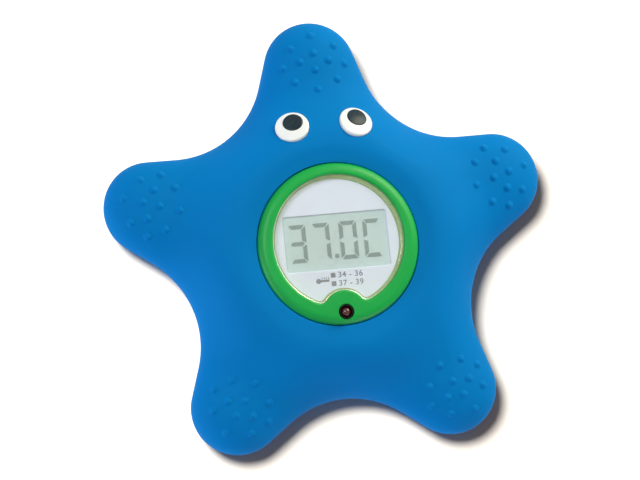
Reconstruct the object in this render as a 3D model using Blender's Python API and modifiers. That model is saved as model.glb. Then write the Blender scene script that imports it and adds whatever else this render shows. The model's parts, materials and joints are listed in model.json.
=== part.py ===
"""Baby bath thermometer in the shape of a starfish.

Two moulded shells, joined along a seam half way up, make the five-armed body. A round display
module drops into the top of the front shell, and a coin cell sits in a well in the back shell,
behind a screwed door. A metal probe and two water contacts sit flush in the base.

Units are metres and +Z is up. The origin is on the base plane under the middle of the starfish,
and +Y runs along the arm that carries the eyes.
"""

import math

import bmesh
import bpy
from mathutils import Matrix, Vector

# Starfish outline
ARMS = 5
ARM_REACH = 0.0630  # centre to the end of an arm
ARM_TIP_RADIUS = 0.0127
VALLEY_REACH = 0.0410  # centre to the deepest point between two arms
ARM_SIDE = 0.0083  # straight run between the tip's curve and the valley's

# Body heights and walls
SEAM_HEIGHT = 0.0095  # base to the joint between the two shells
ARM_CROWN = 0.0086  # joint to the ridge of an arm
DOME_CROWN = 0.0153  # joint to the crest round the bezel
DOME_FOOT_RADIUS = 0.0460  # where the dome runs out onto the arms
BASE_ROUNDING = 0.0090  # width of the curve from the joint down to the flat base
WALL = 0.0020
SEAT_GAP = 0.0002  # clearance between pieces that seat on each other
SLIDE_GAP = 0.00025  # clearance round a piece that drops into a hole

# Joint between the shells
RIM_WIDTH = 0.0032
GROOVE_WIDTH = 0.0012
GROOVE_DEPTH = 0.0012

# Nubs on the arms: distance out from the middle of the rounded tip, and half the spread
NUB_RADIUS = 0.0010
NUB_HEIGHT = 0.0006
NUB_ROWS = (
    (0.0082, 0.0),
    (0.0049, 0.0060),
    (0.0031, 0.0),
    (0.0009, 0.0040),
    (-0.0003, 0.0086),
    (-0.0016, 0.0),
    (-0.0046, 0.0059),
    (-0.0071, 0.0),
)

# Eyes
EYE_RADIUS = 0.00465
EYE_SPREAD = 0.0177  # between the middles of the eyes
EYE_DISTANCE = 0.0330  # from the centre, along the top arm
EYE_INSET = 0.0009
EYE_RIM = 0.0002
EYE_DOME = 0.0006
PUPIL_RADIUS = 0.0027
PUPIL_OFFSET = 0.0009  # towards the end of the arm
PUPIL_ASIDE = 0.0003  # both eyes glance the same way
PUPIL_INSET = 0.0004
PUPIL_DOME = 0.0002

# Bezel and its seat in the front shell
BEZEL_PROUD = 0.0015  # its crest above the crest of the shell round it
BEZEL_FLANGE = 0.0031  # height of the flange that shows
BEZEL_SIDE = 0.0014  # straight part of the flange's side
BEZEL_OVERHANG = 0.0013  # flange beyond the skirt
SKIRT_WALL = 0.0014
SKIRT_DEPTH = 0.0070  # from the flange down to the skirt's end
DISH_WIDTH = 0.0054  # shallow dished ring round the bezel
DISH_DEPTH = 0.0007
LEDGE_THICKNESS = 0.0014
LEDGE_WIDTH = 0.0024
SEAL_THICKNESS = 0.0006
HOOK_COUNT = 4
HOOK_WIDTH = 0.0036
HOOK_HEIGHT = 0.0021
HOOK_REACH = 0.0009

# Window in the bezel
RING_WIDTH = 0.0040  # visible width of the ring
WINDOW_OFFSET = 0.0008  # the window's centre lies above the bezel's
WINDOW_CORNER = 0.0022
BUMP_RADIUS = 0.0059  # tongue of the bezel round the lamp
LENS_SEAT_WIDTH = 0.0008
LENS_SEAT_DEPTH = 0.0011
LENS_THICKNESS = 0.0019
LENS_INSET = 0.0005  # top of the lens below the bezel's inner edge
WINDOW_ROUNDING = 0.0006  # the bezel's inner edge below its crest

# Alarm lamp
LED_SETBACK = 0.0033  # from the bezel's edge
LED_RADIUS = 0.00145
LED_LENGTH = 0.0027
LED_PROUD = 0.0001  # its dome above the bezel
LED_SLEEVE_WALL = 0.00035
LED_LEAD_PITCH = 0.00254
LED_LEAD_RADIUS = 0.00025

# Display stack, from the face down
FACE_THICKNESS = 0.0008
LCD_WINDOW_CORNER = 0.0006
LCD_CENTRE_Y = 0.0009
LCD_WIDTH = 0.0296
LCD_HEIGHT = 0.0176
LCD_BORDER_X = 0.0006  # edge of the glass that the face covers
LCD_BORDER_Y = 0.00125
FRAME_WALL = 0.0009  # thinnest wall of the frame, at the corners of the glass
LCD_LEDGE = 0.0010  # contact ledge along the upper and lower edges of the rear glass
LCD_THICKNESS = 0.00195
STRIP_LENGTH = 0.0260
STRIP_WIDTH = 0.0016
STRIP_HEIGHT = 0.0042
BOARD_RADIUS = 0.0205
BOARD_THICKNESS = 0.0012

# Digits on the display
DIGIT_HEIGHT = 0.0103
DIGIT_WIDTH = 0.0048
DIGIT_STROKE = 0.00105
DIGIT_GAP = 0.0003
DIGIT_RELIEF = 0.0001
DIGIT_RAISE = 0.00025  # the row of digits sits a little above the middle of the window
DIGIT_LEFTS = (0.0014, 0.0079, 0.0154, 0.0220)  # from the window's left edge
DIGIT_SEGMENTS = ("abcdg", "abc", "abcdef", "adef")  # 3, 7, 0 and C
POINT_X = 0.0142
POINT_SIDE = 0.0011

# Lugs of the display frame and their bosses
LUG_REACH = 0.0033  # from the bezel's edge out to the screw
LUG_THICKNESS = 0.0014
LUG_ROUND = 0.0021
LUG_ANGLES = (90, 210, 330)
FRAME_BOSS_RADIUS = 0.0023
BOARD_SCREW_X = 0.0090
BOARD_SCREW_UP = 0.0140
BOARD_SCREW_DOWN = 0.0135
CHIP_RADIUS = 0.0042
CHIP_HEIGHT = 0.0012
CRYSTAL_RADIUS = 0.0010
CRYSTAL_LENGTH = 0.0060
CAPACITOR_SIZE = (0.0032, 0.0016, 0.0010)

# Battery well, cell and door
CELL_RADIUS = 0.0100
CELL_THICKNESS = 0.0032
WELL_CLEARANCE = 0.0010  # round the cell, for the side contact
WELL_WALL = 0.0018
WELL_WEB = 0.0016
CELL_HEADROOM = 0.0012  # above the cell, for the spring contact
DOOR_THICKNESS = 0.0018
DOOR_PLUG_HEIGHT = 0.0014
DOOR_SCREW_ANGLES = (90, 210, 330)
DOOR_SEAL_LAND = 0.0013  # edge of the well to the seal
DOOR_SCREW_LAND = 0.0007  # seal to the screw heads
DOOR_MARGIN = 0.0006  # screw heads to the door's edge
DOOR_SEAL_SECTION = 0.0006
DOOR_BOSS_RADIUS = 0.0022
CONTACT_THICKNESS = 0.0003
CONTACT_WIDTH = 0.0030

# Probe and water contacts in the base
PROBE_CLEARANCE = 0.0015  # raised edge of the door's recess to the probe's flange
PROBE_RADIUS = 0.00285
PROBE_WALL = 0.0004
PROBE_FLANGE = 0.0014
PROBE_RECESS = 0.0018  # width of the countersink round the probe
THERMISTOR_RADIUS = 0.0010
STUD_SPREAD = 20  # degrees between the probe and each water contact
STUD_RADIUS = 0.0012
STUD_HEAD_RADIUS = 0.0022
STUD_HEAD = 0.0006
STUD_LENGTH = 0.0047
BASE_RECESS = 0.0003  # how far metal parts stay above the base plane
WIRE_RADIUS = 0.0004

# Screws: head radius, head height, shank radius, length under the head
SHELL_SCREW = (0.0022, 0.0013, 0.00105, 0.0093)
FRAME_SCREW = (0.0017, 0.0010, 0.00085, 0.0061)
BOARD_SCREW = (0.0014, 0.0009, 0.0007, 0.0048)
DOOR_SCREW = (0.0016, 0.0008, 0.00085, 0.0056)
CLOSE_GAP = 0.00015  # clearance of a close fit
SHELL_SCREW_SETBACK = 0.0033  # from the middle of the rounded tip, towards the centre
SHELL_BOSS_WALL = 0.0018
SHELL_POST_WALL = 0.0009
SHELL_SCREW_SEAT = 0.0055

# Facets
TIP_STEPS = 4
SIDE_STEPS = 1
VALLEY_STEPS = 3
ROUND_STEPS = 36
SMALL_ROUND_STEPS = 8

# Values that follow from the sizes above
ARM_ANGLE = 2 * math.pi / ARMS
TIP_CENTRE = ARM_REACH - ARM_TIP_RADIUS
TIP_ALONG_VALLEY = TIP_CENTRE * math.cos(ARM_ANGLE / 2)
VALLEY_RADIUS = (
    ARM_TIP_RADIUS**2 + ARM_SIDE**2 - VALLEY_REACH**2 - TIP_CENTRE**2
    + 2 * VALLEY_REACH * TIP_ALONG_VALLEY
) / (2 * (VALLEY_REACH - TIP_ALONG_VALLEY - ARM_TIP_RADIUS))
VALLEY_CENTRE = VALLEY_REACH + VALLEY_RADIUS
FRONT_RIM = SEAM_HEIGHT + SEAT_GAP / 2
BACK_RIM = SEAM_HEIGHT - SEAT_GAP / 2
GROOVE_START = (RIM_WIDTH - GROOVE_WIDTH) / 2
SHELL_SCREW_DISTANCE = TIP_CENTRE - SHELL_SCREW_SETBACK
LCD_WINDOW_WIDTH = LCD_WIDTH - 2 * LCD_BORDER_X
LCD_WINDOW_HEIGHT = LCD_HEIGHT - 2 * LCD_BORDER_Y
FRAME_RADIUS = FRAME_WALL + math.hypot(
    LCD_WIDTH / 2 + SLIDE_GAP, LCD_HEIGHT / 2 + SLIDE_GAP + LCD_CENTRE_Y
)
SKIRT_INNER = FRAME_RADIUS + SLIDE_GAP
SKIRT_RADIUS = SKIRT_INNER + SKIRT_WALL
FACE_RADIUS = SKIRT_INNER - 2 * CLOSE_GAP
BEZEL_RADIUS = SKIRT_RADIUS + BEZEL_OVERHANG
WINDOW_RADIUS = BEZEL_RADIUS - RING_WIDTH
LED_DISTANCE = BEZEL_RADIUS - LED_SETBACK
LUG_RADIUS = BEZEL_RADIUS + LUG_REACH
CREST_RADIUS = BEZEL_RADIUS + SLIDE_GAP + DISH_WIDTH
BEZEL_TOP = SEAM_HEIGHT + DOME_CROWN + BEZEL_PROUD
FLANGE_BOTTOM = BEZEL_TOP - BEZEL_FLANGE
POCKET_FLOOR = FLANGE_BOTTOM - SEAL_THICKNESS - 2 * CLOSE_GAP
WINDOW_EDGE = BEZEL_TOP - WINDOW_ROUNDING
LENS_SEAT = WINDOW_EDGE - LENS_INSET - LENS_THICKNESS - SEAT_GAP
FACE_SEAT = LENS_SEAT - LENS_SEAT_DEPTH
FACE_TOP = FACE_SEAT - SEAT_GAP
FACE_BOTTOM = FACE_TOP - FACE_THICKNESS
LCD_TOP = FACE_BOTTOM - SEAT_GAP - DIGIT_RELIEF
LCD_BOTTOM = LCD_TOP - LCD_THICKNESS
LCD_POCKET = LCD_BOTTOM - SEAT_GAP
STRIP_BOTTOM = LCD_POCKET - STRIP_HEIGHT
BOARD_TOP = STRIP_BOTTOM - SEAT_GAP
BOARD_BOTTOM = BOARD_TOP - BOARD_THICKNESS
SKIRT_END = FLANGE_BOTTOM - SKIRT_DEPTH
LUG_TOP = SKIRT_END - SEAT_GAP
LED_TOP = BEZEL_TOP + LED_PROUD
LED_BOTTOM = LED_TOP - LED_LENGTH
SLEEVE_RADIUS = LED_RADIUS + CLOSE_GAP + LED_SLEEVE_WALL
DOOR_BOTTOM = 0.0  # flush with the base
DOOR_TOP = DOOR_BOTTOM + DOOR_THICKNESS
DOOR_SEAT = DOOR_TOP + SEAT_GAP
WELL_RADIUS = CELL_RADIUS + WELL_CLEARANCE
DOOR_SEAL_RADIUS = WELL_RADIUS + DOOR_SEAL_LAND + DOOR_SEAL_SECTION
DOOR_SCREW_DISTANCE = DOOR_SEAL_RADIUS + DOOR_SEAL_SECTION + DOOR_SCREW_LAND + DOOR_SCREW[0]
DOOR_RADIUS = DOOR_SCREW_DISTANCE + DOOR_SCREW[0] + DOOR_MARGIN
DOOR_RECESS = DOOR_RADIUS + SLIDE_GAP
PROBE_DISTANCE = DOOR_RECESS + WALL + PROBE_CLEARANCE + PROBE_RADIUS + PROBE_FLANGE
STUD_X = PROBE_DISTANCE * math.sin(math.radians(STUD_SPREAD))
STUD_Y = PROBE_DISTANCE * math.cos(math.radians(STUD_SPREAD))
CELL_BOTTOM = DOOR_TOP + DOOR_PLUG_HEIGHT + SEAT_GAP
CELL_TOP = CELL_BOTTOM + CELL_THICKNESS
WELL_CEILING = CELL_TOP + CELL_HEADROOM
WELL_TOP = WELL_CEILING + WELL_WEB


# Flat geometry


def polar(radius, angle):
    """Point at a distance and an angle in radians, in the XY plane."""
    return Vector((radius * math.cos(angle), radius * math.sin(angle)))


def arc(centre, radius, start, end, steps):
    """Points along an arc, without its last one."""
    return [centre + polar(radius, start + (end - start) * i / steps) for i in range(steps)]


def arm_side():
    """Half an arm that points along +Y: tip centre, valley centre and the side's normal angle."""
    tip = Vector((0.0, TIP_CENTRE))
    valley = polar(VALLEY_CENTRE, math.pi / 2 - ARM_ANGLE / 2)
    between = valley - tip
    lean = math.atan2(ARM_SIDE, ARM_TIP_RADIUS + VALLEY_RADIUS)
    return tip, valley, math.atan2(between.y, between.x) + lean


def star_outline(inset):
    """The starfish outline moved inwards, anticlockwise, starting between two arms."""
    tip, valley, normal = arm_side()
    tip_radius = ARM_TIP_RADIUS - inset
    valley_radius = VALLEY_RADIUS + inset
    valley_middle = math.pi * 1.5 - ARM_ANGLE / 2
    right = arc(valley, valley_radius, valley_middle, normal + math.pi, VALLEY_STEPS)
    side_end = tip + polar(tip_radius, normal)
    side_start = valley + polar(valley_radius, normal + math.pi)
    right += [side_start.lerp(side_end, i / SIDE_STEPS) for i in range(SIDE_STEPS)]
    right += arc(tip, tip_radius, normal, math.pi / 2, TIP_STEPS)
    top = tip + polar(tip_radius, math.pi / 2)
    left = [Vector((-p.x, p.y)) for p in reversed(right[1:])]
    arm = [*right, top, *left]
    turns = [Matrix.Rotation(k * ARM_ANGLE, 2) for k in range(ARMS)]
    return [turn @ p for turn in turns for p in arm]


def edge_distance(x, y):
    """How far a point lies inside the starfish outline."""
    tip, valley, normal = arm_side()
    radius = math.hypot(x, y)
    angle = (math.atan2(y, x) - math.pi / 2 + ARM_ANGLE / 2) % ARM_ANGLE - ARM_ANGLE / 2
    point = Vector((abs(radius * math.sin(angle)), radius * math.cos(angle)))
    outward = polar(1.0, normal)
    start = tip + ARM_TIP_RADIUS * outward
    end = valley - VALLEY_RADIUS * outward
    along = (point - start).dot(end - start) / (end - start).length_squared
    if along < 0:
        return ARM_TIP_RADIUS - (point - tip).length
    if along > 1:
        return (point - valley).length - VALLEY_RADIUS
    return (start - point).dot(outward)


def smooth(share):
    """Smooth step from 0 to 1."""
    share = min(1.0, max(0.0, share))
    return share * share * (3 - 2 * share)


def crown(radius):
    """Height of the body above the seam, away from its edge."""
    share = (DOME_FOOT_RADIUS - radius) / (DOME_FOOT_RADIUS - CREST_RADIUS)
    return ARM_CROWN + (DOME_CROWN - ARM_CROWN) * smooth(share)


def roundness(distance, width):
    """Share of the full height that a rounded edge has reached at this distance from the outline."""
    share = min(1.0, max(0.0, distance / width))
    return math.sqrt(1 - (1 - share) ** 2)


def top_height(x, y):
    """Height of the front shell's outer surface."""
    radius = math.hypot(x, y)
    dish = DISH_DEPTH * max(0.0, 1 - (radius - CREST_RADIUS + DISH_WIDTH) / DISH_WIDTH)
    return SEAM_HEIGHT + crown(radius) * roundness(edge_distance(x, y), ARM_TIP_RADIUS) - dish


def ceiling_height(x, y):
    """Height of the front shell's inner surface, one wall under the outer one."""
    inner = edge_distance(x, y) - WALL
    rise = crown(math.hypot(x, y)) - WALL
    return SEAM_HEIGHT + rise * roundness(inner, ARM_TIP_RADIUS - WALL)


def at_height(points, height):
    """The flat points lifted to one height, or to a height function of x and y."""
    if callable(height):
        return [Vector((p.x, p.y, height(p.x, p.y))) for p in points]
    return [Vector((p.x, p.y, height)) for p in points]


def star_loop(inset, height):
    return at_height(star_outline(inset), height)


def star_circle(radius, height):
    """A circle whose points lie at the same angles as the starfish outline's."""
    return at_height([p.normalized() * radius for p in star_outline(0.0)], height)


def between_loop(inset, radius, share, height):
    """A loop part of the way from the inset outline to a circle."""
    outline = star_outline(inset)
    points = [p.lerp(q.normalized() * radius, share) for p, q in zip(outline, star_outline(0.0))]
    return at_height(points, height)


def window_outline(inset):
    """The bezel's window with the lamp's tongue, moved inwards, anticlockwise from the tongue."""
    centre = Vector((0.0, WINDOW_OFFSET))
    lamp = Vector((0.0, -LED_DISTANCE))
    gap = WINDOW_OFFSET + LED_DISTANCE
    to_centre = WINDOW_RADIUS - WINDOW_CORNER
    to_lamp = BUMP_RADIUS + WINDOW_CORNER
    up = (to_lamp**2 - to_centre**2 + gap**2) / (2 * gap)
    corner = Vector((math.sqrt(to_lamp**2 - up**2), up - LED_DISTANCE))
    bump_angle = math.atan2(corner.y - lamp.y, corner.x - lamp.x)
    wall_angle = math.atan2(corner.y - centre.y, corner.x - centre.x)
    right = arc(lamp, BUMP_RADIUS + inset, math.pi / 2, bump_angle, 4)
    right += arc(corner, WINDOW_CORNER - inset, bump_angle - math.pi, wall_angle, 3)
    right += arc(centre, WINDOW_RADIUS - inset, wall_angle, math.pi / 2, 12)
    top = centre + polar(WINDOW_RADIUS - inset, math.pi / 2)
    left = [Vector((-p.x, p.y)) for p in reversed(right[1:])]
    return [*right, top, *left]


def window_loop(inset, height):
    return at_height(window_outline(inset), height)


def window_circle(radius, height):
    """A circle whose points lie at the same angles as the window outline's."""
    return at_height([p.normalized() * radius for p in window_outline(0.0)], height)


def circle(radius, steps=ROUND_STEPS, centre=(0.0, 0.0)):
    return arc(Vector(centre), radius, 0.0, 2 * math.pi, steps)


def rounded_box(width, height, corner, centre):
    """Outline of a rectangle with rounded corners."""
    points = []
    for index, (sx, sy) in enumerate(((1, 1), (-1, 1), (-1, -1), (1, -1))):
        middle = Vector(centre) + Vector((sx * (width / 2 - corner), sy * (height / 2 - corner)))
        start = index * math.pi / 2
        points += arc(middle, corner, start, start + math.pi / 2, 2)
        points.append(middle + polar(corner, start + math.pi / 2))
    return points


# Objects and modifiers


def clear_scene():
    for obj in list(bpy.data.objects):
        bpy.data.objects.remove(obj, do_unlink=True)


def new_collection(name):
    collection = bpy.data.collections.new(name)
    bpy.context.scene.collection.children.link(collection)
    return collection


def material(name, colour, roughness=0.5, metallic=0.0, alpha=1.0):
    made = bpy.data.materials.new(name)
    made.use_nodes = True
    made.diffuse_color = (*colour, alpha)
    shader = made.node_tree.nodes["Principled BSDF"]
    shader.inputs["Base Color"].default_value = (*colour, 1.0)
    shader.inputs["Roughness"].default_value = roughness
    shader.inputs["Metallic"].default_value = metallic
    shader.inputs["Alpha"].default_value = alpha
    return made


def mesh_object(name, bm, finish=None):
    """A part of the thermometer from a bmesh or, with no finish, a hidden tool that shapes one."""
    mesh = bpy.data.meshes.new(name)
    bm.to_mesh(mesh)
    bm.free()
    obj = bpy.data.objects.new(name, mesh)
    if finish is None:
        TOOLS.objects.link(obj)
        obj.hide_render = True
        obj.display_type = "WIRE"
    else:
        PARTS.objects.link(obj)
        mesh.materials.append(finish)
    return obj


def loft(name, loops, finish=None, closed=True):
    """A solid skinned through loops of equally many points: a closed ring of them, or capped."""
    bm = bmesh.new()
    rows = [[bm.verts.new(p) for p in loop] for loop in loops]
    pairs = list(zip(rows, rows[1:]))
    if closed:
        pairs.append((rows[-1], rows[0]))
    for lower, upper in pairs:
        for i, j in zip(range(len(lower)), [*range(1, len(lower)), 0]):
            bm.faces.new((lower[i], lower[j], upper[j], upper[i]))
    bmesh.ops.triangulate(bm, faces=bm.faces)
    if not closed:
        bm.faces.new(rows[0])
        bm.faces.new(rows[-1])
    bmesh.ops.recalc_face_normals(bm, faces=bm.faces)
    return mesh_object(name, bm, finish)


def turned(name, profile, finish=None, steps=ROUND_STEPS):
    """A turned solid: its profile of (radius, height) runs down the outer side."""
    bm = bmesh.new()
    verts = [bm.verts.new((radius, 0.0, height)) for radius, height in profile]
    for a, b in zip(verts, verts[1:]):
        bm.edges.new((a, b))
    if profile[0][0] > 0:
        bm.edges.new((verts[-1], verts[0]))
    obj = mesh_object(name, bm, finish)
    screw = obj.modifiers.new("turn", "SCREW")
    screw.steps = screw.render_steps = steps
    screw.use_merge_vertices = True
    screw.merge_threshold = 0.00001
    return obj


def plate(name, outlines, bottom, top, finish=None):
    """A flat piece: the first outline is its edge, and the others are holes."""
    curve = bpy.data.curves.new(name, "CURVE")
    curve.dimensions = "2D"
    curve.fill_mode = "BOTH"
    curve.extrude = (top - bottom) / 2
    for outline in outlines:
        spline = curve.splines.new("POLY")
        spline.points.add(len(outline) - 1)
        for point, place in zip(spline.points, outline):
            point.co = (place.x, place.y, 0.0, 1.0)
        spline.use_cyclic_u = True
    flat = bpy.data.objects.new(name + "_curve", curve)
    TOOLS.objects.link(flat)
    graph = bpy.context.evaluated_depsgraph_get()
    mesh = bpy.data.meshes.new_from_object(flat.evaluated_get(graph))
    bm = bmesh.new()
    bm.from_mesh(mesh)
    bmesh.ops.remove_doubles(bm, verts=bm.verts, dist=0.00001)
    bmesh.ops.translate(bm, verts=bm.verts, vec=(0.0, 0.0, (top + bottom) / 2))
    bpy.data.objects.remove(flat)
    bpy.data.meshes.remove(mesh)
    return mesh_object(name, bm, finish)


def boxes(name, blocks, finish=None):
    """Blocks given as (centre, size), in one object."""
    bm = bmesh.new()
    for centre, size in blocks:
        place = Matrix.Translation(centre) @ Matrix.Diagonal((*size, 1.0))
        bmesh.ops.create_cube(bm, size=1.0, matrix=place)
    return mesh_object(name, bm, finish)


def cylinders(name, places, steps=SMALL_ROUND_STEPS, finish=None):
    """Upright cylinders given as (x, y, bottom, top, lower radius, upper radius), in one object."""
    bm = bmesh.new()
    half_step = Matrix.Rotation(math.pi / steps, 4, "Z")
    for x, y, bottom, top, lower, upper in places:
        bmesh.ops.create_cone(
            bm,
            cap_ends=True,
            segments=steps,
            radius1=lower,
            radius2=upper,
            depth=top - bottom,
            matrix=Matrix.Translation((x, y, (top + bottom) / 2)) @ half_step,
        )
    return mesh_object(name, bm, finish)


def boolean(obj, tool, operation):
    modifier = obj.modifiers.new(tool.name, "BOOLEAN")
    modifier.operation = operation
    modifier.object = tool


def cut(obj, tool):
    boolean(obj, tool, "DIFFERENCE")


def join(obj, tool):
    boolean(obj, tool, "UNION")


def strip(name, path, width, thickness, finish):
    """A bent strip of sheet metal: a path of (x, z) points, as wide as given along Y."""
    bm = bmesh.new()
    verts = [bm.verts.new((x, -width / 2, z)) for x, z in path]
    edges = [bm.edges.new(pair) for pair in zip(verts, verts[1:])]
    swept = bmesh.ops.extrude_edge_only(bm, edges=edges)["geom"]
    moved = [item for item in swept if isinstance(item, bmesh.types.BMVert)]
    bmesh.ops.translate(bm, verts=moved, vec=(0.0, width, 0.0))
    obj = mesh_object(name, bm, finish)
    solid = obj.modifiers.new("sheet", "SOLIDIFY")
    solid.thickness = thickness
    solid.offset = 0.0
    solid.use_even_offset = True
    return obj


def wire(name, route, finish):
    """An insulated wire through its route's points, on one smooth curve."""
    points = []
    ends = [route[0] * 2 - route[1], *route, route[-1] * 2 - route[-2]]
    for a, b, c, d in zip(ends, ends[1:], ends[2:], ends[3:]):
        for i in range(2):
            t = i / 2
            bend = (2 * a - 5 * b + 4 * c - d) * t**2 + (3 * b - a - 3 * c + d) * t**3
            points.append((2 * b + (c - a) * t + bend) / 2)
    points.append(route[-1])
    curve = bpy.data.curves.new(name, "CURVE")
    curve.dimensions = "3D"
    curve.bevel_depth = WIRE_RADIUS
    curve.bevel_resolution = 1
    curve.use_fill_caps = True
    spline = curve.splines.new("POLY")
    spline.points.add(len(points) - 1)
    for point, place in zip(spline.points, points):
        point.co = (*place, 1.0)
    curve.materials.append(finish)
    obj = bpy.data.objects.new(name, curve)
    PARTS.objects.link(obj)
    return obj


def screw(name, size, place, finish):
    """A cross-head screw whose head's underside lies at the place, driven upwards from there."""
    head_radius, head_height, shank_radius, length = size
    crown_radius = head_radius * 0.8
    profile = [
        (0.0, length),
        (shank_radius * 0.8, length),
        (shank_radius, 0.0),
        (head_radius, 0.0),
        (head_radius, -head_height * 0.6),
        (crown_radius, -head_height),
        (0.0, -head_height),
    ]
    obj = turned(name, profile, finish, SMALL_ROUND_STEPS)
    arm = head_radius * 0.6
    slot = head_radius * 0.22
    middle = Vector((0.0, 0.0, -head_height))
    depth = head_height * 0.9
    cross = boxes(name + "_cross", [(middle, (2 * arm, slot, depth))])
    other = boxes(name + "_cross_2", [(middle, (slot, 2 * arm, depth))])
    cut(obj, cross)
    cut(obj, other)
    for item in (obj, cross, other):
        item.location = place
    return obj


def around(radius, degrees):
    """Places on a circle as (x, y)."""
    return [tuple(polar(radius, math.radians(angle))) for angle in degrees]


def arm_degrees():
    return [90 + math.degrees(ARM_ANGLE) * k for k in range(ARMS)]


# Body


def nub_places():
    """The (x, y) places of every nub, arm by arm."""
    places = []
    for k in range(ARMS):
        turn = Matrix.Rotation(k * ARM_ANGLE, 2)
        for out, spread in NUB_ROWS:
            for side in (-spread, spread) if spread else (0.0,):
                places.append(turn @ Vector((side, TIP_CENTRE + out)))
    return places


def surface_frame(x, y):
    """Placement on the front shell: local Z is the surface normal, and local Y runs up the arm."""
    step = 0.0005
    slope_x = (top_height(x + step, y) - top_height(x - step, y)) / (2 * step)
    slope_y = (top_height(x, y + step) - top_height(x, y - step)) / (2 * step)
    normal = Vector((-slope_x, -slope_y, 1.0)).normalized()
    side = Vector((0.0, 1.0, 0.0)).cross(normal).normalized()
    frame = Matrix((side, normal.cross(side), normal)).transposed().to_4x4()
    frame.translation = (x, y, top_height(x, y))
    return frame


def nubs():
    """Low round nubs that grow out of the shell, square to its surface."""
    bm = bmesh.new()
    for place in nub_places():
        bmesh.ops.create_cone(
            bm,
            cap_ends=True,
            segments=7,
            radius1=NUB_RADIUS * 1.1,
            radius2=NUB_RADIUS * 0.6,
            depth=2 * NUB_HEIGHT,
            matrix=surface_frame(place.x, place.y),
        )
    return mesh_object("nub_tool", bm)


def edge_insets(width, angles):
    """Insets of the loops round a rounded edge of that width, evenly turned."""
    return [width * (1 - math.cos(math.radians(angle))) for angle in angles]


def front_shell(finish):
    """Domed shell with a rounded edge, a stepped seat for the bezel and a flat rim."""
    core = edge_insets(ARM_TIP_RADIUS, (14, 30, 48, 69))
    hole = SKIRT_RADIUS + SLIDE_GAP
    pocket = BEZEL_RADIUS + SLIDE_GAP
    ledge_bottom = POCKET_FLOOR - LEDGE_THICKNESS
    ledge_edge = hole + LEDGE_WIDTH
    deep = ARM_TIP_RADIUS - (ARM_TIP_RADIUS - WALL) * math.cos(math.radians(66))
    loops = [
        star_loop(0.0, FRONT_RIM),
        *[star_loop(inset, top_height) for inset in core],
        *[between_loop(core[-1], CREST_RADIUS, share, top_height) for share in (0.35, 0.7)],
        star_circle(CREST_RADIUS, top_height),
        star_circle(pocket, top_height),
        star_circle(pocket, POCKET_FLOOR),
        star_circle(hole, POCKET_FLOOR),
        star_circle(hole, ledge_bottom),
        star_circle(ledge_edge, ceiling_height),
        between_loop(deep, CREST_RADIUS, 0.6, ceiling_height),
        star_loop(deep, ceiling_height),
        star_loop(RIM_WIDTH, ceiling_height),
        star_loop(RIM_WIDTH, FRONT_RIM),
    ]
    shell = loft("front_shell", loops, finish)

    screw_hole = SHELL_SCREW[2] + CLOSE_GAP
    boss = screw_hole + SHELL_BOSS_WALL
    arm_places = around(SHELL_SCREW_DISTANCE, arm_degrees())
    lug_places = around(LUG_RADIUS, LUG_ANGLES)
    arm_boss_top = ceiling_height(0.0, SHELL_SCREW_DISTANCE) + WALL / 2
    lug_boss_top = ceiling_height(0.0, LUG_RADIUS) + WALL / 4
    bosses = [(x, y, FRONT_RIM, arm_boss_top, boss, boss) for x, y in arm_places]
    bosses += [
        (x, y, SKIRT_END, lug_boss_top, FRAME_BOSS_RADIUS, FRAME_BOSS_RADIUS)
        for x, y in lug_places
    ]
    join(shell, cylinders("front_boss_tool", bosses, 10))
    join(shell, nubs())

    arm_hole_end = BACK_RIM - SEAM_HEIGHT + SHELL_SCREW_SEAT + SHELL_SCREW[3] + WALL / 4
    lug_hole = FRAME_SCREW[2] + CLOSE_GAP
    lug_hole_end = SKIRT_END + FRAME_SCREW[3] - LUG_THICKNESS
    holes = [(x, y, 0.0, arm_hole_end, screw_hole, screw_hole) for x, y in arm_places]
    holes += [(x, y, 0.0, lug_hole_end, lug_hole, lug_hole) for x, y in lug_places]
    cut(shell, cylinders("front_hole_tool", holes))
    for side in (-1, 1):
        pocket_tool = cylinders(
            f"eye_pocket_tool_{'left' if side < 0 else 'right'}",
            [(0.0, 0.0, -EYE_INSET - SEAT_GAP, WALL, EYE_RADIUS + CLOSE_GAP, EYE_RADIUS + CLOSE_GAP)],
            20,
        )
        pocket_tool.matrix_world = surface_frame(side * EYE_SPREAD / 2, EYE_DISTANCE)
        cut(shell, pocket_tool)
    return shell


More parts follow.
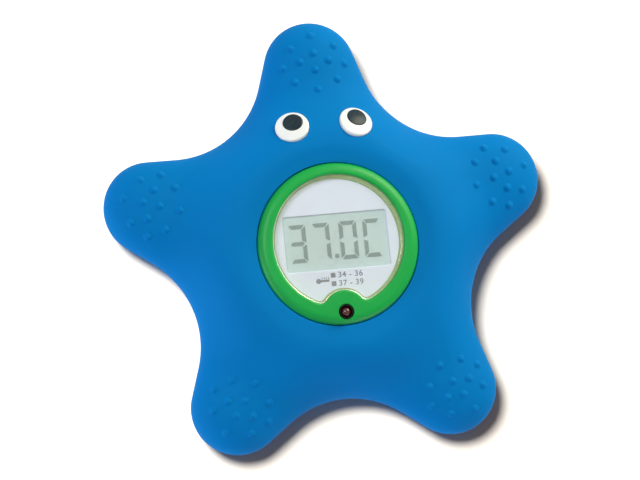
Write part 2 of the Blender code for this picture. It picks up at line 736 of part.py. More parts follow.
def back_shell(finish):
    """Tray with a flat base, the battery well, screw posts and a groove for the seal."""
    turns = (20, 42, 66, 90)
    drops = [SEAM_HEIGHT * (1 - math.sin(math.radians(angle))) for angle in turns]
    outer = [star_loop(i, z) for i, z in zip(edge_insets(BASE_ROUNDING, turns), drops)]
    inner_width = BASE_ROUNDING - WALL
    inner_height = SEAM_HEIGHT - WALL
    start = math.degrees(math.acos((BASE_ROUNDING - RIM_WIDTH) / inner_width))
    inner = []
    for angle in (90.0, start):
        inset = BASE_ROUNDING - inner_width * math.cos(math.radians(angle))
        height = SEAM_HEIGHT - inner_height * math.sin(math.radians(angle))
        inner.append(star_loop(inset, height))
    groove_end = GROOVE_START + GROOVE_WIDTH
    groove_floor = BACK_RIM - GROOVE_DEPTH
    body = loft(
        "back_shell",
        [
            *reversed(outer),
            star_loop(0.0, BACK_RIM),
            star_loop(GROOVE_START, BACK_RIM),
            star_loop(GROOVE_START, groove_floor),
            star_loop(groove_end, groove_floor),
            star_loop(groove_end, BACK_RIM),
            star_loop(RIM_WIDTH, BACK_RIM),
            *reversed(inner),
        ],
        finish,
        closed=False,
    )
    floor = DOOR_SEAT + WALL
    floor_edge = DOOR_RECESS + WALL
    well_outer = WELL_RADIUS + WELL_WALL
    well = [
        (0.0, WELL_TOP),
        (well_outer, WELL_TOP),
        (well_outer, floor),
        (floor_edge, floor),
        (floor_edge, WALL / 2),
        (0.0, WALL / 2),
    ]
    recess = [
        (0.0, WELL_CEILING),
        (WELL_RADIUS, WELL_CEILING),
        (WELL_RADIUS, DOOR_SEAT),
        (DOOR_RECESS, DOOR_SEAT),
        (DOOR_RECESS, -WALL),
        (0.0, -WALL),
    ]
    join(body, turned("well_tool", well))
    cut(body, turned("recess_tool", recess))

    bore = SHELL_SCREW[2] + 2 * CLOSE_GAP
    head_bore = SHELL_SCREW[0] + SLIDE_GAP
    post = head_bore + SHELL_POST_WALL
    arm_places = around(SHELL_SCREW_DISTANCE, arm_degrees())
    door_places = around(DOOR_SCREW_DISTANCE, DOOR_SCREW_ANGLES)
    door_pilot = DOOR_SCREW[2] + CLOSE_GAP
    door_pilot_end = DOOR_BOTTOM + DOOR_SCREW[1] + DOOR_SCREW[3] + 3 * SEAT_GAP
    door_boss_top = door_pilot_end + WALL / 2
    posts = [(x, y, WALL / 2, BACK_RIM, post, post) for x, y in arm_places]
    posts += [
        (x, y, (DOOR_SEAT + floor) / 2, door_boss_top, DOOR_BOSS_RADIUS, DOOR_BOSS_RADIUS)
        for x, y in door_places
    ]
    join(body, cylinders("back_post_tool", posts, 10))

    countersink = PROBE_RADIUS + PROBE_RECESS
    wide = [(x, y, -WALL, SHELL_SCREW_SEAT, head_bore, head_bore) for x, y in arm_places]
    wide.append((0.0, PROBE_DISTANCE, -WALL / 2, WALL / 2, countersink + WALL / 2, countersink - WALL / 2))
    stud_recess = BASE_RECESS + STUD_HEAD + SEAT_GAP
    stud_bore = STUD_HEAD_RADIUS + SLIDE_GAP
    wide += [(side * STUD_X, STUD_Y, -WALL, stud_recess, stud_bore, stud_bore) for side in (-1, 1)]
    cut(body, cylinders("back_counterbore_tool", wide, 12))

    deep = SEAM_HEIGHT + WALL
    narrow = [(x, y, WALL, deep, bore, bore) for x, y in arm_places]
    narrow += [(x, y, WALL / 2, door_pilot_end, door_pilot, door_pilot) for x, y in door_places]
    stud_hole = STUD_RADIUS + 2 * CLOSE_GAP
    narrow += [(side * STUD_X, STUD_Y, 0.0, 2 * WALL, stud_hole, stud_hole) for side in (-1, 1)]
    cut(body, cylinders("back_hole_tool", narrow))
    probe_bore = PROBE_RADIUS + CLOSE_GAP
    probe_hole = (0.0, PROBE_DISTANCE, -WALL, 2 * WALL, probe_bore, probe_bore)
    cut(body, cylinders("probe_hole_tool", [probe_hole], 20))

    slot_middle = (WELL_CEILING + WELL_TOP) / 2
    slot_height = 2 * WELL_WEB
    slot = 3 * CONTACT_THICKNESS
    length = CONTACT_WIDTH + 2 * SLIDE_GAP
    cut(
        body,
        boxes(
            "contact_slot_tool",
            [
                (Vector((side_contact_x(), 0.0, slot_middle)), (slot, length, slot_height)),
                (Vector((spring_contact_x(), 0.0, slot_middle)), (slot, length, slot_height)),
            ],
        ),
    )
    return body


def side_contact_x():
    """Where the side contact's leaf stands, beside the cell's can."""
    return -(CELL_RADIUS + WELL_CLEARANCE / 2)


def spring_contact_x():
    """Where the spring contact's tail goes up through the web."""
    return CELL_RADIUS * 0.6


def seam_seal(finish):
    """Rubber cord in the groove of the back shell's rim."""
    outer = GROOVE_START + CLOSE_GAP
    inner = GROOVE_START + GROOVE_WIDTH - CLOSE_GAP
    bottom = BACK_RIM - GROOVE_DEPTH + CLOSE_GAP
    top = FRONT_RIM - CLOSE_GAP
    loops = [
        star_loop(outer, bottom),
        star_loop(outer, top),
        star_loop(inner, top),
        star_loop(inner, bottom),
    ]
    return loft("seam_seal", loops, finish)


def eye(side, white, black):
    """One eye: a domed white disc let into the shell, with a pupil let into the disc."""
    label = "left" if side < 0 else "right"
    frame = surface_frame(side * EYE_SPREAD / 2, EYE_DISTANCE)
    profile = dome_profile(EYE_RADIUS, EYE_RIM, EYE_DOME, -EYE_INSET)
    disc = turned(f"eye_{label}", profile, white, 20)
    disc.matrix_world = frame
    pupil_seat = EYE_RIM + EYE_DOME / 2 - PUPIL_INSET
    radius = PUPIL_RADIUS + CLOSE_GAP
    tool = cylinders(
        f"pupil_pocket_tool_{label}",
        [(PUPIL_ASIDE, PUPIL_OFFSET, pupil_seat - CLOSE_GAP, WALL, radius, radius)],
        16,
    )
    tool.matrix_world = frame
    cut(disc, tool)
    rim = EYE_RIM + EYE_DOME
    profile = dome_profile(PUPIL_RADIUS, rim, PUPIL_DOME, pupil_seat)
    pupil = turned(f"pupil_{label}", profile, black, 16)
    pupil.matrix_world = frame @ Matrix.Translation((PUPIL_ASIDE, PUPIL_OFFSET, 0.0))


def dome_profile(radius, rim, dome, bottom):
    """Profile of a disc whose top rises from the rim to a low dome."""
    arch = [(radius * s, rim + dome * (1 - s * s)) for s in (0.0, 0.5, 0.85)]
    return [*arch, (radius, rim - dome * 0.1), (radius, bottom), (0.0, bottom)]


# Display module


def bezel(finish):
    """Green ring with a rounded top, the lens seat, a skirt with snap hooks and the lamp's tongue."""
    shoulder = BEZEL_RADIUS - 0.0003
    side_top = FLANGE_BOTTOM + BEZEL_SIDE
    rise = BEZEL_TOP - side_top
    loops = [
        window_circle(BEZEL_RADIUS, FLANGE_BOTTOM),
        window_circle(BEZEL_RADIUS, side_top),
        window_circle(shoulder, side_top + rise * 0.5),
        window_circle(shoulder - 0.0006, side_top + rise * 0.85),
        window_circle(shoulder - 0.0014, BEZEL_TOP),
        window_loop(-0.0007, BEZEL_TOP),
        window_loop(-0.0002, (BEZEL_TOP + WINDOW_EDGE) / 2),
        window_loop(0.0, WINDOW_EDGE),
        window_loop(0.0, LENS_SEAT),
        window_loop(LENS_SEAT_WIDTH, LENS_SEAT),
        window_loop(LENS_SEAT_WIDTH, FACE_SEAT),
        window_circle(SKIRT_INNER, FACE_SEAT),
        window_circle(SKIRT_INNER, SKIRT_END),
        window_circle(SKIRT_RADIUS, SKIRT_END),
        window_circle(SKIRT_RADIUS, FLANGE_BOTTOM),
    ]
    ring = loft("bezel", loops, finish)
    hook_top = POCKET_FLOOR - LEDGE_THICKNESS - SEAT_GAP
    for k in range(HOOK_COUNT):
        turn = Matrix.Rotation((k + 0.5) * 2 * math.pi / HOOK_COUNT, 3, "Z")
        root = SKIRT_RADIUS - SKIRT_WALL / 2
        half = HOOK_WIDTH / 2
        low = [(root, -half), (SKIRT_RADIUS, -half), (SKIRT_RADIUS, half), (root, half)]
        tip = SKIRT_RADIUS + HOOK_REACH
        high = [(root, -half), (tip, -half), (tip, half), (root, half)]
        below = [turn @ Vector((x, y, hook_top - HOOK_HEIGHT)) for x, y in low]
        above = [turn @ Vector((x, y, hook_top)) for x, y in high]
        join(ring, loft(f"hook_tool_{k + 1}", [below, above], closed=False))
    radius = SLEEVE_RADIUS + CLOSE_GAP
    hole_floor = LED_BOTTOM - SEAT_GAP
    lead_hole = LED_LEAD_PITCH / 2 + 2 * LED_LEAD_RADIUS
    lamp_hole = (0.0, -LED_DISTANCE, hole_floor, BEZEL_TOP + WALL, radius, radius)
    wire_hole = (0.0, -LED_DISTANCE, FACE_SEAT - WALL / 2, LED_BOTTOM, lead_hole, lead_hole)
    cut(ring, cylinders("lamp_hole_tool", [lamp_hole], 16))
    cut(ring, cylinders("lead_hole_tool", [wire_hole], 16))
    return ring


def display_window(seal_rubber, clear, white_face):
    """Gasket under the bezel's flange, clear lens and white dial face."""
    gasket_top = FLANGE_BOTTOM - CLOSE_GAP
    outer = BEZEL_RADIUS - CLOSE_GAP
    inner = SKIRT_RADIUS + SLIDE_GAP + CLOSE_GAP
    plate(
        "bezel_seal",
        [circle(outer, 36), circle(inner, 36)],
        gasket_top - SEAL_THICKNESS,
        gasket_top,
        seal_rubber,
    )
    bottom = LENS_SEAT + SEAT_GAP
    plate("lens", [window_outline(CLOSE_GAP)], bottom, bottom + LENS_THICKNESS, clear)
    opening = rounded_box(
        LCD_WINDOW_WIDTH, LCD_WINDOW_HEIGHT, LCD_WINDOW_CORNER, (0.0, LCD_CENTRE_Y)
    )
    face = plate("dial_face", [circle(FACE_RADIUS, 36), opening], FACE_BOTTOM, FACE_TOP, white_face)
    cut(face, lamp_notch("face_notch_tool"))


def lamp_notch(name):
    """Clearance for the lamp's leads in the plates behind the bezel."""
    radius = LED_LEAD_PITCH / 2 + 4 * LED_LEAD_RADIUS
    return cylinders(name, [(0.0, -LED_DISTANCE, BOARD_TOP, LENS_SEAT, radius, radius)], 16)


def segment_outlines(left, bottom, names):
    """Outlines of the named bars of a seven-segment digit."""
    right = left + DIGIT_WIDTH
    top = bottom + DIGIT_HEIGHT
    middle = (top + bottom) / 2
    half = DIGIT_STROKE / 2
    near = left + DIGIT_STROKE
    far = right - DIGIT_STROKE
    low = bottom + DIGIT_STROKE
    high = top - DIGIT_STROKE
    gap = DIGIT_GAP
    upper = middle + half
    lower = middle - half
    corners = {
        "a": ((left + gap, top), (near, high), (far, high), (right - gap, top)),
        "b": ((right, top - gap), (far, high - gap), (far, upper + gap), (right, middle + gap)),
        "c": ((right, middle - gap), (far, lower - gap), (far, low + gap), (right, bottom + gap)),
        "d": ((left + gap, bottom), (right - gap, bottom), (far, low), (near, low)),
        "e": ((left, bottom + gap), (near, low + gap), (near, lower - gap), (left, middle - gap)),
        "f": ((left, middle + gap), (near, upper + gap), (near, high - gap), (left, top - gap)),
        "g": (
            (near, lower),
            (far, lower),
            (far + half, middle),
            (far, upper),
            (near, upper),
            (near - half, middle),
        ),
    }
    return [[Vector(corner) for corner in corners[name]] for name in names]


def lcd_panel(finish):
    """Two bonded sheets of glass, with the lit segments as a low relief on the front one."""
    seam = (LCD_TOP + LCD_BOTTOM) / 2
    middle = Vector((0.0, LCD_CENTRE_Y, (LCD_BOTTOM + seam) / 2))
    panel = boxes("lcd_panel", [(middle, (LCD_WIDTH, LCD_HEIGHT, seam - LCD_BOTTOM))], finish)
    sink = LCD_THICKNESS / 4
    front = Vector((0.0, LCD_CENTRE_Y, (LCD_TOP + seam - sink) / 2))
    size = (LCD_WIDTH - 2 * SLIDE_GAP, LCD_HEIGHT - 2 * LCD_LEDGE, LCD_TOP - seam + sink)
    join(panel, boxes("front_glass_tool", [(front, size)]))
    left = -LCD_WINDOW_WIDTH / 2
    bottom = LCD_CENTRE_Y + DIGIT_RAISE - DIGIT_HEIGHT / 2
    outlines = []
    for start, names in zip(DIGIT_LEFTS, DIGIT_SEGMENTS):
        outlines += segment_outlines(left + start, bottom, names)
    point = (left + POINT_X, bottom + POINT_SIDE)
    outlines.append(rounded_box(POINT_SIDE, POINT_SIDE, POINT_SIDE / 5, point))
    join(panel, plate("segment_tool", outlines, LCD_TOP - sink, LCD_TOP + DIGIT_RELIEF))
    return panel


def display_frame(finish):
    """Round carrier for the display glass and its contact strips, with three screwed lugs."""
    radius = FRAME_RADIUS
    strip_y = LCD_HEIGHT / 2 - STRIP_WIDTH / 2 - CLOSE_GAP
    slots = [
        rounded_box(
            STRIP_LENGTH + 2 * CLOSE_GAP,
            STRIP_WIDTH + 2 * CLOSE_GAP,
            CLOSE_GAP,
            (0.0, LCD_CENTRE_Y + side * strip_y),
        )
        for side in (-1, 1)
    ]
    frame = plate(
        "display_frame",
        [circle(radius, 36), *slots],
        STRIP_BOTTOM,
        FACE_BOTTOM - SEAT_GAP,
        finish,
    )
    depth = 2 * (LCD_TOP - LCD_POCKET)
    pocket = (LCD_WIDTH + 2 * SLIDE_GAP, LCD_HEIGHT + 2 * SLIDE_GAP, depth)
    middle = Vector((0.0, LCD_CENTRE_Y, LCD_POCKET + depth / 2))
    cut(frame, boxes("lcd_pocket_tool", [(middle, pocket)]))
    cut(frame, lamp_notch("frame_notch_tool"))
    inner = radius * 0.9
    for number, angle in enumerate(LUG_ANGLES, 1):
        turn = Matrix.Rotation(math.radians(angle), 2)
        outline = [Vector((inner, -LUG_ROUND))]
        outline += arc(Vector((LUG_RADIUS, 0.0)), LUG_ROUND, -math.pi / 2, math.pi / 2, 8)
        outline += [Vector((LUG_RADIUS, LUG_ROUND)), Vector((inner, LUG_ROUND))]
        lug = plate(
            f"lug_tool_{number}", [[turn @ p for p in outline]], LUG_TOP - LUG_THICKNESS, LUG_TOP
        )
        join(frame, lug)
    hole = FRAME_SCREW[2] + 2 * CLOSE_GAP
    pilot = BOARD_SCREW[2] + CLOSE_GAP
    pilot_end = BOARD_BOTTOM + BOARD_SCREW[3] + CLOSE_GAP
    holes = [(x, y, 0.0, 2 * LUG_TOP, hole, hole) for x, y in around(LUG_RADIUS, LUG_ANGLES)]
    holes += [(x, y, 0.0, pilot_end, pilot, pilot) for x, y in board_screw_places()]
    cut(frame, cylinders("lug_hole_tool", holes))
    return frame


def board_screw_places():
    return [
        (side * BOARD_SCREW_X, y)
        for y in (BOARD_SCREW_UP, -BOARD_SCREW_DOWN)
        for side in (-1, 1)
    ]


def contact_strips(finish):
    """Rubber strips that join the display glass to the circuit board."""
    strip_y = LCD_HEIGHT / 2 - STRIP_WIDTH / 2 - CLOSE_GAP
    for label, side in (("upper", 1), ("lower", -1)):
        middle = Vector((0.0, LCD_CENTRE_Y + side * strip_y, STRIP_BOTTOM + STRIP_HEIGHT / 2))
        boxes(f"contact_strip_{label}", [(middle, (STRIP_LENGTH, STRIP_WIDTH, STRIP_HEIGHT))], finish)


def circuit_board(board, black, metal, ceramic, steel):
    """Round board under the display frame, with the parts soldered to its underside."""
    hole = BOARD_SCREW[2] + 2 * CLOSE_GAP
    blank = plate("circuit_board", [circle(BOARD_RADIUS, 36)], BOARD_BOTTOM, BOARD_TOP, board)
    holes = [(x, y, 0.0, 2 * BOARD_TOP, hole, hole) for x, y in board_screw_places()]
    cut(blank, cylinders("board_hole_tool", holes))
    under = BOARD_BOTTOM - CLOSE_GAP
    chip = turned(
        "controller_chip",
        [
            (0.0, 0.0),
            (CHIP_RADIUS, 0.0),
            (CHIP_RADIUS * 0.85, -CHIP_HEIGHT * 0.6),
            (CHIP_RADIUS * 0.45, -CHIP_HEIGHT * 0.9),
            (0.0, -CHIP_HEIGHT),
        ],
        black,
        16,
    )
    chip.location = (0.0, BOARD_RADIUS * 0.45, under)
    end = CRYSTAL_LENGTH / 2
    crystal = turned(
        "quartz_crystal",
        [(0.0, end), (CRYSTAL_RADIUS, end), (CRYSTAL_RADIUS, -end), (0.0, -end)],
        metal,
        SMALL_ROUND_STEPS,
    )
    crystal.rotation_euler = (0.0, math.pi / 2, 0.0)
    crystal.location = (-BOARD_RADIUS * 0.5, -BOARD_RADIUS * 0.35, under - CRYSTAL_RADIUS)
    place = Vector((BOARD_RADIUS * 0.5, -BOARD_RADIUS * 0.35, under - CAPACITOR_SIZE[2] / 2))
    boxes("capacitor", [(place, CAPACITOR_SIZE)], ceramic)
    for number, (x, y) in enumerate(board_screw_places(), 1):
        screw(f"board_screw_{number}", BOARD_SCREW, (x, y, BOARD_BOTTOM - CLOSE_GAP), steel)


def alarm_lamp(red, black, metal):
    """Round red lamp in a black sleeve, with two leads down to the board."""
    shoulder = LED_TOP - LED_RADIUS
    dome = [
        (LED_RADIUS * math.sin(math.radians(a)), shoulder + LED_RADIUS * math.cos(math.radians(a)))
        for a in (0, 30, 60)
    ]
    profile = [*dome, (LED_RADIUS, shoulder), (LED_RADIUS, LED_BOTTOM), (0.0, LED_BOTTOM)]
    lamp = turned("alarm_lamp", profile, red, 16)
    inner = LED_RADIUS + CLOSE_GAP
    sleeve_top = BEZEL_TOP - CLOSE_GAP
    sleeve = turned(
        "lamp_sleeve",
        [(inner, sleeve_top), (SLEEVE_RADIUS, sleeve_top), (SLEEVE_RADIUS, LED_BOTTOM), (inner, LED_BOTTOM)],
        black,
        16,
    )
    for obj in (lamp, sleeve):
        obj.location = (0.0, -LED_DISTANCE, 0.0)
    top = LED_BOTTOM - CLOSE_GAP
    bottom = BOARD_TOP + CLOSE_GAP
    for label, side in (("left", -1), ("right", 1)):
        place = (side * LED_LEAD_PITCH / 2, -LED_DISTANCE, bottom, top, LED_LEAD_RADIUS, LED_LEAD_RADIUS)
        cylinders(f"lamp_lead_{label}", [place], 8, metal)


# Battery


def battery(steel, spring_metal, door_plastic, rubber):
    """Coin cell, its two contacts, and the door with its seal and screws."""
    step = CELL_THICKNESS * 0.8
    cap = CELL_RADIUS * 0.88
    turned(
        "coin_cell",
        [
            (0.0, CELL_TOP),
            (cap, CELL_TOP),
            (cap, CELL_BOTTOM + step),
            (CELL_RADIUS, CELL_BOTTOM + step),
            (CELL_RADIUS, CELL_BOTTOM),
            (0.0, CELL_BOTTOM),
        ],
        steel,
        32,
    )
    tail_top = BOARD_BOTTOM - SEAT_GAP
    leaf = WELL_CEILING - CONTACT_THICKNESS
    reach = CELL_RADIUS * 0.45
    touch = CELL_TOP + CONTACT_THICKNESS
    tail = spring_contact_x()
    spring = [(-reach, leaf), (-reach / 2, touch), (0.0, leaf), (tail, leaf), (tail, tail_top)]
    strip("spring_contact", spring, CONTACT_WIDTH, CONTACT_THICKNESS, spring_metal)
    side = side_contact_x()
    press = -(CELL_RADIUS + CONTACT_THICKNESS)
    mid = (CELL_BOTTOM + CELL_TOP) / 2
    leaf_path = [
        (side, CELL_BOTTOM + SEAT_GAP),
        (press, mid - SEAT_GAP),
        (side, CELL_TOP),
        (side, tail_top),
    ]
    strip("side_contact", leaf_path, CONTACT_WIDTH, CONTACT_THICKNESS, spring_metal)

    groove = DOOR_SEAL_SECTION + CLOSE_GAP
    groove_floor = DOOR_TOP - 2 * DOOR_SEAL_SECTION - CLOSE_GAP / 2
    plug = WELL_RADIUS - 2 * SEAT_GAP
    bevel = 2 * CLOSE_GAP
    door = turned(
        "battery_door",
        [
            (0.0, DOOR_TOP + DOOR_PLUG_HEIGHT),
            (plug, DOOR_TOP + DOOR_PLUG_HEIGHT),
            (plug, DOOR_TOP),
            (DOOR_SEAL_RADIUS - groove, DOOR_TOP),
            (DOOR_SEAL_RADIUS - groove, groove_floor),
            (DOOR_SEAL_RADIUS + groove, groove_floor),
            (DOOR_SEAL_RADIUS + groove, DOOR_TOP),
            (DOOR_RADIUS, DOOR_TOP),
            (DOOR_RADIUS, DOOR_BOTTOM + bevel),
            (DOOR_RADIUS - bevel, DOOR_BOTTOM),
            (0.0, DOOR_BOTTOM),
        ],
        door_plastic,
        32,
    )
    places = around(DOOR_SCREW_DISTANCE, DOOR_SCREW_ANGLES)
    head = DOOR_SCREW[0] + 2 * CLOSE_GAP
    head_seat = DOOR_BOTTOM + DOOR_SCREW[1] + 2 * CLOSE_GAP
    shank = DOOR_SCREW[2] + 2 * CLOSE_GAP
    wide = [(x, y, -WALL, head_seat, head, head) for x, y in places]
    narrow = [(x, y, 0.0, 2 * WALL, shank, shank) for x, y in places]
    cut(door, cylinders("door_counterbore_tool", wide, 16))
    cut(door, cylinders("door_hole_tool", narrow))
    bpy.ops.mesh.primitive_torus_add(
        major_segments=32,
        minor_segments=6,
        major_radius=DOOR_SEAL_RADIUS,
        minor_radius=DOOR_SEAL_SECTION,
        location=(0.0, 0.0, groove_floor + CLOSE_GAP / 2 + DOOR_SEAL_SECTION),
    )
    ring = bpy.context.object
    ring.name = "door_seal"
    ring.data.materials.append(rubber)
    for collection in list(ring.users_collection):
        collection.objects.unlink(ring)
    PARTS.objects.link(ring)
    for number, (x, y) in enumerate(places, 1):
        screw(f"door_screw_{number}", DOOR_SCREW, (x, y, head_seat - CLOSE_GAP), steel)


# Sensing parts in the base


def probe(steel, glass_bead, wire_black):
    """Drawn metal cap in the base, with the thermistor and its wires inside."""
    flange_bottom = WALL + SEAT_GAP
    flange_top = flange_bottom + PROBE_WALL
    inner = PROBE_RADIUS - PROBE_WALL
    low = BASE_RECESS + CLOSE_GAP
    turned_cap = turned(
        "probe_cap",
        [
            (0.0, low + PROBE_WALL),
            (inner * 0.6, low + PROBE_WALL * 1.2),
            (inner, low + PROBE_WALL * 2.2),
            (inner, flange_top),
            (PROBE_RADIUS + PROBE_FLANGE, flange_top),
            (PROBE_RADIUS + PROBE_FLANGE, flange_bottom),
            (PROBE_RADIUS, flange_bottom),
            (PROBE_RADIUS, low + PROBE_WALL * 1.6),
            (PROBE_RADIUS * 0.85, low + PROBE_WALL * 0.5),
            (PROBE_RADIUS * 0.5, low),
            (0.0, low),
        ],
        steel,
        16,
    )
    turned_cap.location = (0.0, PROBE_DISTANCE, 0.0)
    bm = bmesh.new()
    bead_z = low + PROBE_WALL + THERMISTOR_RADIUS + SEAT_GAP
    centre = Matrix.Translation((0.0, PROBE_DISTANCE, bead_z))
    bmesh.ops.create_uvsphere(bm, u_segments=10, v_segments=6, radius=THERMISTOR_RADIUS, matrix=centre)
    mesh_object("thermistor", bm, glass_bead)
    start = bead_z + THERMISTOR_RADIUS + SEAT_GAP
    end = BOARD_BOTTOM - SEAT_GAP
    for label, side in (("left", -1), ("right", 1)):
        x = side * (WIRE_RADIUS + CLOSE_GAP)
        y = PROBE_DISTANCE
        target = BOARD_RADIUS * 0.85
        route = [
            Vector((x, y, start)),
            Vector((x, y, (start + end) / 2)),
            Vector((x * 2, (y + target) / 2, end - (end - start) / 4)),
            Vector((x * 2.5, target, end - WIRE_RADIUS * 4)),
            Vector((x * 2.5, target, end)),
        ]
        wire(f"probe_wire_{label}", route, wire_black)


def water_contacts(steel, wire_red):
    """Two rivets that sense the water, each with a wire up to the board."""
    bottom = BASE_RECESS
    head_top = bottom + STUD_HEAD
    top = bottom + STUD_LENGTH
    end = BOARD_BOTTOM - SEAT_GAP
    for label, side in (("left", -1), ("right", 1)):
        stud = turned(
            f"water_contact_{label}",
            [
                (0.0, top),
                (STUD_RADIUS, top),
                (STUD_RADIUS, head_top),
                (STUD_HEAD_RADIUS, head_top),
                (STUD_HEAD_RADIUS, head_top - STUD_HEAD / 2),
                (STUD_HEAD_RADIUS * 0.7, bottom),
                (0.0, bottom),
            ],
            steel,
            12,
        )
        x = side * STUD_X
        stud.location = (x, STUD_Y, 0.0)
        target = Vector((x * 0.75, BOARD_RADIUS * 0.75, end))
        route = [
            Vector((x, STUD_Y, top + SEAT_GAP)),
            Vector((x, STUD_Y, (top + end) / 2)),
            Vector(((x + target.x) / 2, (STUD_Y + target.y) / 2, end - (end - top) / 4)),
            target - Vector((0.0, 0.0, WIRE_RADIUS * 4)),
            target,
        ]
        wire(f"contact_wire_{label}", route, wire_red)


def build():
    blue = material("blue_soft_plastic", (0.0, 0.178, 0.515), 0.45)
    green = material("green_gloss_plastic", (0.012, 0.42, 0.045), 0.2)
    white = material("white_gloss_plastic", (0.9, 0.9, 0.88), 0.25)
    face = material("white_dial", (0.74, 0.76, 0.84), 0.4)
    black = material("black_plastic", (0.012, 0.014, 0.018), 0.3)
    rubber = material("dark_rubber", (0.03, 0.03, 0.032), 0.8)
    clear = material("clear_plastic", (0.95, 0.97, 0.97), 0.05, alpha=0.25)
    glass = material("display_glass", (0.56, 0.65, 0.58), 0.3)
    frame = material("white_frame_plastic", (0.8, 0.8, 0.8), 0.5)
    board = material("green_circuit_board", (0.01, 0.14, 0.05), 0.4)
    steel = material("stainless_steel", (0.62, 0.62, 0.63), 0.3, 1.0)
    spring = material("nickel_spring_strip", (0.7, 0.68, 0.62), 0.35, 1.0)
    red = material("red_lamp", (0.16, 0.006, 0.006), 0.1)
    ceramic = material("tan_ceramic", (0.45, 0.3, 0.16), 0.5)
    red_wire = material("red_wire", (0.5, 0.02, 0.02), 0.5)

    front_shell(blue)
    back_shell(blue)
    seam_seal(rubber)
    for side in (-1, 1):
        eye(side, white, black)
    for number, (x, y) in enumerate(around(SHELL_SCREW_DISTANCE, arm_degrees()), 1):
        screw(f"shell_screw_{number}", SHELL_SCREW, (x, y, SHELL_SCREW_SEAT - CLOSE_GAP), steel)

    bezel(green)
    display_window(rubber, clear, face)
    lcd_panel(glass)
    display_frame(frame)
    contact_strips(rubber)
    circuit_board(board, black, steel, ceramic, steel)
    alarm_lamp(red, black, spring)
    for number, (x, y) in enumerate(around(LUG_RADIUS, LUG_ANGLES), 1):
        place = (x, y, LUG_TOP - LUG_THICKNESS - CLOSE_GAP)
        screw(f"frame_screw_{number}", FRAME_SCREW, place, steel)

    battery(steel, spring, blue, rubber)
    probe(steel, ceramic, rubber)
    water_contacts(steel, red_wire)


clear_scene()
PARTS = new_collection("baby_bath_thermometer")
TOOLS = new_collection("shaping_tools")
build()
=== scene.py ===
import json
from math import acos, atan2, cos, degrees, hypot, pi, radians, sin, sqrt

import bmesh
import bpy
from mathutils import Matrix, Vector


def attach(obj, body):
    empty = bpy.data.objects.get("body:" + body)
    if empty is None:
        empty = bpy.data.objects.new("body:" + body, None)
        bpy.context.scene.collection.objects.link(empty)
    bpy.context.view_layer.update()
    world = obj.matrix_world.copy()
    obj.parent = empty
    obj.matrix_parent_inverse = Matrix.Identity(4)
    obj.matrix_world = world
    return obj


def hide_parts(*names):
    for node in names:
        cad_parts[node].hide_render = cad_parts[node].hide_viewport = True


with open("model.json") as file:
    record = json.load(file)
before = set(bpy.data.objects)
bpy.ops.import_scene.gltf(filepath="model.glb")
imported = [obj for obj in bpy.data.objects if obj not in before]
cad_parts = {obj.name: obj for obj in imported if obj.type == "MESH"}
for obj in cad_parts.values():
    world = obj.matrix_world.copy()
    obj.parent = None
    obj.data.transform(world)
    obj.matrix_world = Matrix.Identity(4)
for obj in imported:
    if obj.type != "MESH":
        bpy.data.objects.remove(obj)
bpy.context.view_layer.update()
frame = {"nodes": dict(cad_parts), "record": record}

# The looks of a starfish bath thermometer. Metres, +Z up, +Y along the arm that carries the eyes.

# Starfish outline
ARMS = 5
ARM_REACH = 0.0630
ARM_TIP_RADIUS = 0.0127
VALLEY_REACH = 0.0410
ARM_SIDE = 0.0083  # straight run between the tip's curve and the valley's

# Shells
SEAM_HEIGHT = 0.0095
ARM_CROWN = 0.0086  # joint to the ridge of an arm
DOME_CROWN = 0.0153  # joint to the crest round the bezel
DOME_FOOT_RADIUS = 0.0460
BASE_ROUNDING = 0.0090
WALL = 0.0020
SEAT_GAP = 0.0002
SLIDE_GAP = 0.00025
CLOSE_GAP = 0.00015
RIM_WIDTH = 0.0032
RIM_BEVEL = 0.00012
GROOVE_WIDTH = 0.0012
GROOVE_DEPTH = 0.0012

# Nubs: distance out from the middle of the rounded tip, and half the spread
NUB_FOOT = 0.00138
NUB_HEIGHT = 0.00064
NUB_ROWS = (
    (0.0082, 0.0), (0.0049, 0.0060), (0.0031, 0.0), (0.0009, 0.0040), (-0.0003, 0.0086),
    (-0.0016, 0.0), (-0.0046, 0.0059), (-0.0071, 0.0),
)

# Eyes
EYE_RADIUS = 0.00465
EYE_SPREAD = 0.0177
EYE_DISTANCE = 0.0330
EYE_INSET = 0.0009
EYE_RIM = 0.0002
EYE_DOME = 0.0006
PUPIL_RADIUS = 0.0027
PUPIL_OFFSET = 0.0009
PUPIL_ASIDE = 0.0003
PUPIL_INSET = 0.0004
PUPIL_DOME = 0.0002

# Bezel, dish and window
BEZEL_RADIUS = 0.02189
BEZEL_PROUD = 0.0015
BEZEL_FLANGE = 0.0031
BEZEL_SIDE = 0.0014
SKIRT_RADIUS = 0.02059
SKIRT_INNER = 0.01919
SKIRT_DEPTH = 0.0070
DISH_WIDTH = 0.0054
DISH_DEPTH = 0.0007
DISH_SOFTNESS = 0.15  # share of the dish's slope that eases in at the crest
SOFTENING = 0.0042  # radius over which the body's ridges are smoothed
SOFTENING_SHARE = 0.45  # and its share of the distance to the outline
LEDGE_THICKNESS = 0.0014
LEDGE_WIDTH = 0.0024
SEAL_THICKNESS = 0.0006
HOOK_COUNT = 4
HOOK_WIDTH = 0.0036
HOOK_HEIGHT = 0.0021
HOOK_REACH = 0.0009
WINDOW_RADIUS = 0.01789
WINDOW_OFFSET = 0.0008
WINDOW_CORNER = 0.0022
WINDOW_ROUNDING = 0.0006
BUMP_RADIUS = 0.0059
LENS_SEAT_WIDTH = 0.0008
LENS_SEAT_DEPTH = 0.0011
LENS_THICKNESS = 0.0019
LENS_INSET = 0.0005

